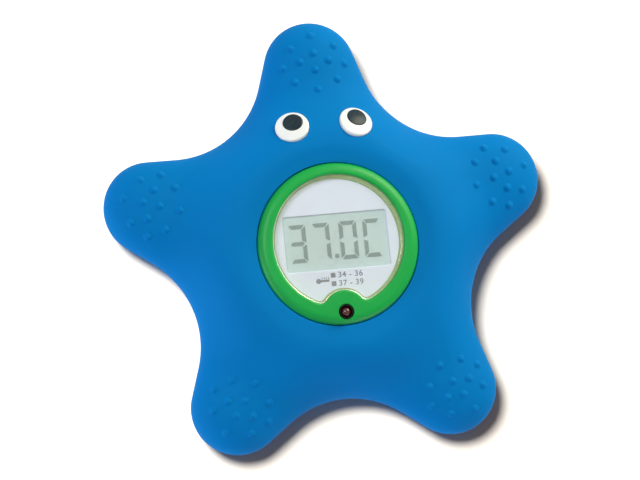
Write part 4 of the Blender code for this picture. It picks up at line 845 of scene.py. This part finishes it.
def back_shell():
    """Tray with a flat base, the battery well, screw posts and the metal parts' recesses."""
    turns = (3, 8, 14, 21, 29, 37, 45, 53, 61, 69, 76, 83, 90)
    inner_steps = 6
    inner_width = BASE_ROUNDING - WALL
    start = degrees(acos((BASE_ROUNDING - RIM_WIDTH) / inner_width))
    inner_turns = [start + (90 - start) * i / inner_steps for i in range(inner_steps + 1)]
    groove_end = GROOVE_START + GROOVE_WIDTH
    groove_floor = BACK_RIM - GROOVE_DEPTH
    section = [
        *reversed(bend(turns, BASE_ROUNDING, SEAM_HEIGHT, -BASE_ROUNDING, -SEAM_HEIGHT)),
        (0.0, BACK_RIM - RIM_BEVEL), (RIM_BEVEL, BACK_RIM), (GROOVE_START, BACK_RIM),
        (GROOVE_START, groove_floor), (groove_end, groove_floor), (groove_end, BACK_RIM),
        (RIM_WIDTH, BACK_RIM),
        *bend(inner_turns, BASE_ROUNDING, SEAM_HEIGHT, -inner_width, WALL - SEAM_HEIGHT),
    ]
    loops = [star_loop(*point) for point in section]
    body = loft("back_shell_body", loops, closed=False)

    floor = DOOR_SEAT + WALL
    floor_edge = DOOR_RECESS + WALL
    well_outer = WELL_RADIUS + WELL_WALL
    well_top = WELL_CEILING + WELL_WEB
    mouth = 0.00025
    flare = WALL + mouth
    well = [
        (0.0, well_top), (well_outer, well_top), (well_outer, floor), (floor_edge, floor),
        (floor_edge, WALL / 2), (0.0, WALL / 2),
    ]
    recess = [
        (0.0, WELL_CEILING), (WELL_RADIUS, WELL_CEILING), (WELL_RADIUS, DOOR_SEAT),
        (DOOR_RECESS, DOOR_SEAT), (DOOR_RECESS, mouth), (DOOR_RECESS + flare, -WALL),
        (0.0, -WALL),
    ]
    head_bore = SHELL_SCREW[0] + SLIDE_GAP
    pilot_end = DOOR_SCREW[1] + DOOR_SCREW[3] + 3 * SEAT_GAP
    stud_recess = BASE_RECESS + STUD_HEAD + SEAT_GAP
    stud_bore = STUD_HEAD_RADIUS + SLIDE_GAP
    countersink = PROBE_RADIUS + PROBE_RECESS
    door_places = around(DOOR_SCREW_DISTANCE, THIRDS)
    stud_places = [(-STUD_X, STUD_Y), (STUD_X, STUD_Y)]
    probe_places = [(0.0, PROBE_DISTANCE)]
    posts = [
        *bores(ARM_SCREWS, WALL / 2, BACK_RIM, head_bore + SHELL_POST_WALL),
        *bores(door_places, (DOOR_SEAT + floor) / 2, pilot_end + WALL / 2, DOOR_BOSS_RADIUS),
    ]
    wide = [
        *bores(ARM_SCREWS, -WALL, SHELL_SCREW_SEAT, head_bore),
        *bores(stud_places, -WALL, stud_recess, stud_bore),
    ]
    mouths = [
        *bores(ARM_SCREWS, -WALL, mouth, head_bore + flare, head_bore),
        *bores(stud_places, -WALL, mouth, stud_bore + flare, stud_bore),
        *bores(probe_places, -WALL / 2, WALL / 2, countersink + WALL / 2, countersink - WALL / 2),
    ]
    narrow = [
        *bores(ARM_SCREWS, WALL, SEAM_HEIGHT + WALL, SHELL_SCREW[2] + 2 * CLOSE_GAP),
        *bores(door_places, WALL / 2, pilot_end, DOOR_SCREW[2] + CLOSE_GAP),
        *bores(stud_places, 0.0, 2 * WALL, STUD_RADIUS + 2 * CLOSE_GAP),
        *bores(probe_places, -WALL, 2 * WALL, PROBE_RADIUS + CLOSE_GAP),
    ]
    slot = (3 * CONTACT_THICKNESS, CONTACT_WIDTH + 2 * SLIDE_GAP, 2 * WELL_WEB)
    slot_z = WELL_CEILING + WELL_WEB / 2
    slot_xs = (-(CELL_RADIUS + WELL_RADIUS) / 2, CELL_RADIUS * 0.6)
    steps = [
        (turned("well_tool", well), JOIN),
        (turned("recess_tool", recess), CUT),
        (cylinders("post_tool", posts), JOIN),
        (cylinders("counterbore_tool", wide), CUT),
        (cylinders("mouth_tool", mouths), CUT),
        (cylinders("bore_tool", narrow), CUT),
        (boxes("contact_slot_tool", [((x, 0.0, slot_z), slot) for x in slot_xs]), CUT),
    ]
    carve(body, steps)
    put(body, "blue_soft_plastic", "back_shell")


def disc_profile(radius, rim, dome, bottom, edge):
    """Profile of a low domed disc with a rounded edge."""
    steps = 12
    shares = [i / steps * (1 - edge / radius) for i in range(steps + 1)]
    profile = [(radius * share, rim + dome * (1 - share**2)) for share in shares]
    profile += bend((60, 30, 0), radius - edge, profile[-1][1] - edge, edge, edge)
    return [*profile, (radius, bottom), (0.0, bottom)]


def eyes():
    """Domed white discs let into the shell, each with a glossy pupil let into it."""
    seat = EYE_RIM + EYE_DOME / 2 - PUPIL_INSET
    pupil_place = (PUPIL_ASIDE, PUPIL_OFFSET)
    hole = bores([pupil_place], seat - CLOSE_GAP, WALL, PUPIL_RADIUS + CLOSE_GAP / 2)
    eye = disc_profile(EYE_RADIUS, EYE_RIM, EYE_DOME, -EYE_INSET, 0.0005)
    pupil = disc_profile(PUPIL_RADIUS, EYE_RIM + EYE_DOME, PUPIL_DOME, seat, 0.00025)
    for side, label in SIDES:
        placed = surface_frame(side * EYE_SPREAD / 2, EYE_DISTANCE)
        disc = turned(f"eye_disc_{label}", eye, DISC_STEPS, placed)
        carve(disc, [(cylinders("pupil_pocket_tool", hole, DISC_STEPS, placed), CUT)])
        put(disc, "white_gloss_plastic", f"eye_{label}")
        raised = placed @ Matrix.Translation((*pupil_place, 0.0))
        disc = turned(f"eye_pupil_{label}", pupil, DISC_STEPS, raised)
        put(disc, "black_plastic", f"pupil_{label}")


# Display module


def bezel():
    """Glossy ring with a rounded top, the lens seat, the lamp's tongue and a hooked skirt."""
    shoulder_width = 0.0024
    shoulder_height = BEZEL_FLANGE - BEZEL_SIDE
    crest_width = 0.0007
    under = 0.0002
    side_top = FLANGE_BOTTOM + BEZEL_SIDE
    start = BEZEL_RADIUS - shoulder_width
    shoulder = bend(range(0, 91, 9), start, side_top, shoulder_width, shoulder_height)
    crest = bend(range(90, -1, -15), -crest_width, WINDOW_EDGE, crest_width, WINDOW_ROUNDING)
    loops = [
        window_circle(BEZEL_RADIUS - under, FLANGE_BOTTOM),
        window_circle(BEZEL_RADIUS, FLANGE_BOTTOM + under),
        *[window_circle(*point) for point in shoulder],
        *[window_loop(*point) for point in crest],
        window_loop(0.0, LENS_SEAT), window_loop(LENS_SEAT_WIDTH, LENS_SEAT),
        window_loop(LENS_SEAT_WIDTH, FACE_SEAT), window_circle(SKIRT_INNER, FACE_SEAT),
        window_circle(SKIRT_INNER, SKIRT_END), window_circle(SKIRT_RADIUS, SKIRT_END),
        window_circle(SKIRT_RADIUS, FLANGE_BOTTOM),
    ]
    ring = loft("bezel_ring", loops)
    hook_top = POCKET_FLOOR - LEDGE_THICKNESS - SEAT_GAP
    hook_ends = ((SKIRT_RADIUS, hook_top - HOOK_HEIGHT), (SKIRT_RADIUS + HOOK_REACH, hook_top))
    root = (SKIRT_RADIUS + SKIRT_INNER) / 2
    half = HOOK_WIDTH / 2
    steps = []
    for k in range(HOOK_COUNT):
        turn = Matrix.Rotation((k + 0.5) * 2 * pi / HOOK_COUNT, 3, "Z")
        ends = []
        for reach, z in hook_ends:
            corners = ((root, -half), (reach, -half), (reach, half), (root, half))
            ends.append([turn @ Vector((x, y, z)) for x, y in corners])
        steps.append((loft(f"hook_tool_{k + 1}", ends, closed=False), JOIN))
    radius = SLEEVE_RADIUS + CLOSE_GAP
    above = BEZEL_TOP + WALL
    lead_hole = LED_LEAD_PITCH / 2 + 2 * LED_LEAD_RADIUS
    holes = (
        bores([LAMP_PLACE], LED_BOTTOM - SEAT_GAP, above, radius),
        bores([LAMP_PLACE], FACE_SEAT - WALL / 2, LED_BOTTOM, lead_hole),
        bores([LAMP_PLACE], BEZEL_TOP - CLOSE_GAP, above, radius, radius + WALL),
    )
    steps += [(cylinders("lamp_hole_tool", hole, LAMP_STEPS), CUT) for hole in holes]
    carve(ring, steps)
    put(ring, "green_gloss_plastic", "bezel")
    # The lens seat and the wall below it take the olive-gold finish: painted reflection and painted
    # highlight over the ring's green
    ring.data.materials.append(FINISHES["bezel_wall_painted_reflection"])
    for face in ring.data.polygons:
        x, y, z = face.center
        inside = hypot(x, y) < SKIRT_INNER and hypot(x, y + LED_DISTANCE) > 2 * LED_RADIUS
        if inside and FACE_SEAT < z < WINDOW_EDGE - LENS_INSET / 2:
            face.material_index = 1
    return ring


def lens():
    """Clear window with softened edges and a matt side, whose olive-gold tint is a painted
    reflection of the green wall and warm light.
    """
    bottom = LENS_SEAT + SEAT_GAP
    top = bottom + LENS_THICKNESS
    edge = 0.00012
    loops = [
        window_loop(CLOSE_GAP + edge, bottom), window_loop(CLOSE_GAP, bottom + edge),
        window_loop(CLOSE_GAP, top - edge), window_loop(CLOSE_GAP + edge, top),
    ]
    window = put(loft("lens_window", loops, closed=False), "clear_plastic", "lens")
    window.data.materials.append(FINISHES["window_edge"])
    for face in window.data.polygons:
        if abs(face.normal.z) < 0.5:
            face.material_index = 1


def dial_face():
    """White plate with the display's opening, its edge softly chamfered."""
    edge = 0.0002
    side_steps = 24

    def opening(grow):
        size = (LCD_WINDOW_WIDTH + 2 * grow, LCD_WINDOW_HEIGHT + 2 * grow)
        return rounded_box(*size, LCD_WINDOW_CORNER + grow, (0.0, LCD_CENTRE_Y), side_steps)

    rim = [p.normalized() * FACE_RADIUS for p in opening(0.0)]
    loops = [
        at_height(rim, FACE_BOTTOM),
        at_height(rim, FACE_TOP),
        at_height(opening(edge), FACE_TOP),
        at_height(opening(0.0), FACE_TOP - edge),
        at_height(opening(0.0), FACE_BOTTOM),
    ]
    face = loft("dial_plate", loops)
    radius = LED_LEAD_PITCH / 2 + 4 * LED_LEAD_RADIUS
    notch = bores([LAMP_PLACE], FACE_BOTTOM - WALL, LENS_SEAT, radius)
    carve(face, [(cylinders("notch_tool", notch), CUT)])
    return put(face, "white_dial", "dial_face")


def add_bars(bm, outlines, bottom, top):
    """Upright prisms on flat outlines."""
    for outline in outlines:
        add_skin(bm, [at_height(outline, bottom), at_height(outline, top)], closed=False)
    bmesh.ops.recalc_face_normals(bm, faces=bm.faces)


def dial_print():
    """A plain thermometer sign beside two lines of plain numbers, as ink on the dial."""
    ink = 0.00002
    size = 0.0022
    text_x = -0.0006
    square_x = -0.0019
    sign_y = -0.0095
    lines = (("34 - 36", -0.0089), ("37 - 39", -0.0112))
    # The sign's bulb, its tube and the four strokes of its scale: width, height, corner, x, y
    sign = [(0.0014, 0.0014, 0.0006999, -0.0060, sign_y), (0.0023, 0.0006, 0.0001, -0.0042, sign_y)]
    sign += [(0.0002, 0.0006, 0.00005, -0.0050 + 0.0006 * k, sign_y + 0.0007) for k in range(4)]
    marks = [(0.0013, 0.0013, 0.0002, square_x, y + size / 3) for _, y in lines] + sign
    bm = bmesh.new()
    for words, y in lines:
        name = "dial_text_" + words[:2]
        curve = bpy.data.curves.new(name, "FONT")
        curve.body = words
        curve.size = size
        curve.offset = 0.00003
        curve.space_character = 1.08
        curve.extrude = ink / 2
        text = add_object(name, curve)
        text.location = (text_x, y, FACE_TOP + ink / 2)
        graph = bpy.context.evaluated_depsgraph_get()
        mesh = bpy.data.meshes.new_from_object(text.evaluated_get(graph))
        mesh.transform(text.matrix_world)
        bm.from_mesh(mesh)
        bpy.data.meshes.remove(mesh)
        bpy.data.objects.remove(text, do_unlink=True)
    bmesh.ops.remove_doubles(bm, verts=bm.verts, dist=0.000001)
    outlines = [rounded_box(width, height, corner, (x, y)) for width, height, corner, x, y in marks]
    add_bars(bm, outlines, FACE_TOP, FACE_TOP + ink)
    printed = mesh_object("dial_numbers", bm)
    finish(printed, "dial_print")
    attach(printed, "root")


def segment_outlines(left, bottom, names):
    """Outlines of the named bars of a seven-segment digit."""
    gap = DIGIT_GAP
    half = DIGIT_STROKE / 2
    x = DIGIT_WIDTH / 2
    y = DIGIT_HEIGHT / 2
    near = x - DIGIT_STROKE
    high = y - DIGIT_STROKE
    level = ((x - gap, y), (near, high), (-near, high), (gap - x, y))
    upright = ((x, y - gap), (near, high - gap), (near, half + gap), (x, gap))
    tip = (near + half, 0.0)
    middle = (tip, (near, half), (-near, half), (-tip[0], 0.0), (-near, -half), (near, -half))
    bars = {
        "a": (level, 1, 1),
        "b": (upright, 1, 1),
        "c": (upright, 1, -1),
        "d": (level, 1, -1),
        "e": (upright, -1, -1),
        "f": (upright, -1, 1),
        "g": (middle, 1, 1),
    }
    centre = Vector((left + x, bottom + y))
    chosen = [bars[name] for name in names]
    return [[centre + Vector((sx * u, sy * v)) for u, v in bar] for bar, sx, sy in chosen]


def display():
    """Two bonded sheets of glass with the lit segments on them."""
    seam = (LCD_TOP + LCD_BOTTOM) / 2
    rear = (LCD_WIDTH, LCD_HEIGHT, seam - LCD_BOTTOM)
    front = (LCD_WIDTH - 2 * SLIDE_GAP, LCD_HEIGHT - 2 * LCD_LEDGE, LCD_TOP - seam)
    bm = bmesh.new()
    add_block(bm, (0.0, LCD_CENTRE_Y, (LCD_BOTTOM + seam) / 2), rear)
    add_block(bm, (0.0, LCD_CENTRE_Y, (LCD_TOP + seam) / 2), front)
    bmesh.ops.bevel(bm, geom=bm.edges[:], offset=0.00006, segments=1, affect="EDGES")
    put(mesh_object("display_sheets", bm), "display_glass", "lcd_panel")

    left = -LCD_WINDOW_WIDTH / 2
    bottom = LCD_CENTRE_Y + DIGIT_RAISE - DIGIT_HEIGHT / 2
    point = (left + POINT_X, bottom + POINT_SIDE)
    outlines = []
    for start, names in zip(DIGIT_LEFTS, DIGIT_SEGMENTS):
        outlines += segment_outlines(left + start, bottom, names)
    outlines.append(rounded_box(POINT_SIDE, POINT_SIDE, POINT_SIDE / 5, point))
    bm = bmesh.new()
    add_bars(bm, outlines, LCD_TOP, LCD_TOP + DIGIT_RELIEF)
    digits = mesh_object("display_digits", bm)
    put(digits, "display_glass", "lcd_panel", look="display_segments")


def alarm_lamp():
    """Round red lamp in its black sleeve."""
    place = Matrix.Translation((*LAMP_PLACE, 0.0))
    dome = bend(range(81, -1, -9), 0.0, LED_TOP - LED_RADIUS, LED_RADIUS, LED_RADIUS)
    profile = [(0.0, LED_TOP), *dome, (LED_RADIUS, LED_BOTTOM), (0.0, LED_BOTTOM)]
    put(turned("lamp_dome", profile, LAMP_STEPS, place), "red_lamp", "alarm_lamp")
    inner = LED_RADIUS + CLOSE_GAP / 2
    top = BEZEL_TOP - CLOSE_GAP
    edge = 0.00008
    profile = [
        (inner, top - edge), (inner + edge, top), (SLEEVE_RADIUS - edge, top),
        (SLEEVE_RADIUS, top - edge), (SLEEVE_RADIUS, LED_BOTTOM), (inner, LED_BOTTOM),
    ]
    sleeve = turned("lamp_ring", profile, LAMP_STEPS, place)
    put(sleeve, "black_plastic", "lamp_sleeve", look="lamp_black")


# Underside


def cross_screws(name, node, size, places, seat):
    """Cross-head screws with domed heads, whose undersides lie at the seat's height."""
    head_radius, head_height, shank_radius, length = size
    rim = -head_height * 0.45
    profile = [
        (0.0, length), (shank_radius * 0.8, length), (shank_radius, length * 0.9),
        (shank_radius, 0.0), (head_radius, 0.0), (head_radius, rim),
        *bend((25, 50, 75), head_radius * 0.72, rim, head_radius * 0.28, -head_height * 0.5),
        (head_radius * 0.45, -head_height + head_radius * 0.01), (0.0, -head_height),
    ]
    arm = head_radius * 1.2
    slot = head_radius * 0.2
    depth = head_height * 0.9
    for number, (x, y) in enumerate(places, 1):
        place = Matrix.Translation((x, y, seat))
        screw = turned(f"{name}_{number}", profile, SMALL_ROUND_STEPS, place)
        middle = (x, y, seat - head_height)
        bars = ((arm, slot, depth), (slot, arm, depth))
        carve(screw, [(boxes("cross_tool", [(middle, bar)]), CUT) for bar in bars])
        put(screw, "screw_steel", f"{node}_{number}")


def battery_door():
    """Round door, flush with the base, held by three screws in counterbores."""
    top = DOOR_THICKNESS
    groove = DOOR_SEAL_SECTION + CLOSE_GAP
    groove_floor = top - 2 * DOOR_SEAL_SECTION - CLOSE_GAP / 2
    plug = WELL_RADIUS - 2 * SEAT_GAP
    profile = [
        (0.0, top + DOOR_PLUG_HEIGHT), (plug, top + DOOR_PLUG_HEIGHT), (plug, top),
        (DOOR_SEAL_RADIUS - groove, top), (DOOR_SEAL_RADIUS - groove, groove_floor),
        (DOOR_SEAL_RADIUS + groove, groove_floor), (DOOR_SEAL_RADIUS + groove, top),
        (DOOR_RADIUS, top), (DOOR_RADIUS, DOOR_BEVEL),
        (DOOR_RADIUS - DOOR_BEVEL * 0.3, DOOR_BEVEL * 0.3), (DOOR_RADIUS - DOOR_BEVEL, 0.0),
        (0.0, 0.0),
    ]
    door = turned("battery_cover", profile)
    places = around(DOOR_SCREW_DISTANCE, THIRDS)
    play = 2 * CLOSE_GAP
    seat = DOOR_SCREW[1] + play
    wide = bores(places, -WALL, seat, DOOR_SCREW[0] + play)
    narrow = bores(places, 0.0, 2 * WALL, DOOR_SCREW[2] + play)
    steps = [
        (cylinders("door_counterbore_tool", wide, SMALL_ROUND_STEPS), CUT),
        (cylinders("door_hole_tool", narrow), CUT),
    ]
    carve(door, steps)
    put(door, "blue_soft_plastic", "battery_door")
    cross_screws("cover_screw", "door_screw", DOOR_SCREW, places, seat - CLOSE_GAP)


def shell_screws():
    seat = SHELL_SCREW_SEAT - CLOSE_GAP
    cross_screws("arm_screw", "shell_screw", SHELL_SCREW, ARM_SCREWS, seat)


def probe():
    """Drawn metal cap of the sensor, rounded where it meets the water."""
    low = BASE_RECESS + CLOSE_GAP
    flange_bottom = WALL + SEAT_GAP
    flange_top = flange_bottom + PROBE_WALL
    inner = PROBE_RADIUS - PROBE_WALL
    rounding = PROBE_WALL * 2
    profile = [
        (0.0, low + PROBE_WALL), (inner * 0.6, low + PROBE_WALL * 1.2),
        (inner, low + PROBE_WALL * 2.2), (inner, flange_top),
        (PROBE_RADIUS + PROBE_FLANGE, flange_top), (PROBE_RADIUS + PROBE_FLANGE, flange_bottom),
        (PROBE_RADIUS, flange_bottom),
        *bend(range(0, 91, 15), PROBE_RADIUS - rounding, low + rounding, rounding, -rounding),
        (0.0, low),
    ]
    place = Matrix.Translation((0.0, PROBE_DISTANCE, 0.0))
    put(turned("probe_tip", profile, DISC_STEPS, place), "stainless_steel", "probe_cap")


def water_contacts():
    """Two rivets with softly domed heads."""
    head_top = BASE_RECESS + STUD_HEAD
    profile = [
        (0.0, BASE_RECESS + STUD_LENGTH), (STUD_RADIUS, BASE_RECESS + STUD_LENGTH),
        (STUD_RADIUS, head_top),
        *bend(range(0, 90, 15), 0.0, head_top, STUD_HEAD_RADIUS, -STUD_HEAD),
        (0.0, BASE_RECESS),
    ]
    for side, label in SIDES:
        place = Matrix.Translation((side * STUD_X, STUD_Y, 0.0))
        stud = turned(f"contact_rivet_{label}", profile, SMALL_ROUND_STEPS, place)
        put(stud, "stainless_steel", f"water_contact_{label}")


# Scene


def finish_hidden_nodes():
    """The pieces inside keep their CAD shape and take the finish of their slot."""
    slots = {entry["node"]: entry["material_slot"] for entry in frame["record"]["subparts"]}
    for name, node in frame["nodes"].items():
        if not node.hide_render:
            node.data.materials.clear()
            node.data.materials.append(FINISHES[slots[name]])


def add_camera():
    back = VIEW_FROM.normalized()
    right = PICTURE_UP.normalized().cross(back).normalized()
    up = back.cross(right)
    look = Vector((0.0, 0.0, SEAM_HEIGHT)) + right * LOOK_RIGHT + up * LOOK_UP
    data = bpy.data.cameras.new("camera")
    data.sensor_width = 36.0
    data.lens = CAMERA_LENS
    data.clip_start = 0.01
    data.clip_end = 20.0
    placed = Matrix((right, up, back)).transposed().to_4x4()
    placed.translation = look + back * CAMERA_DISTANCE
    camera = add_object("camera", data)
    camera.matrix_world = placed
    bpy.context.scene.camera = camera


def add_lamp(name, receivers=None, blockers=None):
    """A round soft lamp aimed at the part, for some receivers, or with shadows of some blockers."""
    direction, distance, size, level, colour = LAMPS[name]
    direction = Vector(direction)
    data = bpy.data.lights.new(name, "AREA")
    data.shape = "DISK"
    data.size = size
    data.energy = level * (pi * distance) ** 2
    data.color = colour
    made = add_object(name, data)
    made.location = direction.normalized() * distance
    made.rotation_euler = direction.to_track_quat("Z", "Y").to_euler()
    made.light_linking.receiver_collection = receivers
    made.light_linking.blocker_collection = blockers


def light_group(name, objects, state="INCLUDE"):
    """A collection that limits a lamp to some objects, or to all but those."""
    group = bpy.data.collections.new(name)
    for obj in objects:
        group.objects.link(obj)
    for member in group.collection_objects:
        member.light_linking.link_state = state
    return group


def add_lamps(floor, dial_parts):
    """The part is lit from all round. One lamp deepens the shadow, one is for the ring's gloss."""
    floor_only = light_group("floor_only", [floor])
    all_but_floor = light_group("all_but_floor", [floor], "EXCLUDE")
    all_but_dial = light_group("all_but_dial", dial_parts, "EXCLUDE")
    ring_only = light_group("ring_only", dial_parts[:1])
    add_lamp("key")
    add_lamp("shadow", floor_only)
    add_lamp("right", all_but_floor, all_but_dial)
    add_lamp("left", all_but_floor)
    add_lamp("gloss", ring_only)
    add_lamp("front", all_but_floor)


def plain_sight(tree):
    """1 where a ray sees a surface directly, in a reflection or through the window."""
    path = tree.nodes.new("ShaderNodeLightPath").outputs
    seen = path["Is Camera Ray"]
    for label in ("Is Glossy Ray", "Is Transmission Ray"):
        seen = maths(tree, "MAXIMUM", seen, path[label])
    return maths(tree, "MULTIPLY", seen, maths(tree, "LESS_THAN", path["Diffuse Depth"], 0.5))


def add_world():
    """Plain white where it is seen, and the level of the room where it lights the part."""
    world = bpy.data.worlds.new("studio")
    bpy.context.scene.world = world
    world.use_nodes = True
    tree = world.node_tree
    room = tree.nodes["Background"]
    feed(tree, room, {"Color": (*WORLD_COLOUR, 1.0), "Strength": WORLD_LEVEL})
    white = add_node(tree, "ShaderNodeBackground", {"Color": (1.0, 1.0, 1.0, 1.0)})
    looks = (room.outputs["Background"], white.outputs["Background"])
    mix_shaders(tree, plain_sight(tree), *looks, "World Output")


def add_floor():
    """Floor that keeps the shadow near the part and is plain white to the eye further out."""
    bm = bmesh.new()
    bmesh.ops.create_grid(bm, x_segments=1, y_segments=1, size=FLOOR_HALF)
    floor = mesh_object("floor", bm)
    made, tree, shader = new_material("floor_paper", {"Roughness": 0.9, SHEEN: 0.0})
    seen = plain_sight(tree)
    feed(tree, shader, {"Base Color": mixed(tree, seen, FLOOR_LIT, FLOOR_SEEN)})
    place = tree.nodes.new("ShaderNodeTexCoord").outputs["Object"]
    away = add_node(tree, "ShaderNodeVectorMath", {0: place}, "LENGTH").outputs["Value"]
    near, far = FLOOR_FADE
    fade = add_node(tree, "ShaderNodeMapRange", {"Value": away, "From Min": near, "From Max": far})
    share = maths(tree, "MULTIPLY", seen, fade.outputs["Result"])
    white = tree.nodes.new("ShaderNodeEmission")
    mix_shaders(tree, share, shader.outputs["BSDF"], white.outputs["Emission"])
    floor.data.materials.append(made)
    return floor


FINISHES = make_materials()
front_shell()
back_shell()
eyes()
dial_parts = [bezel(), dial_face()]
lens()
dial_print()
display()
alarm_lamp()
battery_door()
shell_screws()
probe()
water_contacts()
finish_hidden_nodes()
add_camera()
add_world()
add_lamps(add_floor(), dial_parts)
bpy.context.scene.view_settings.view_transform = "Standard"
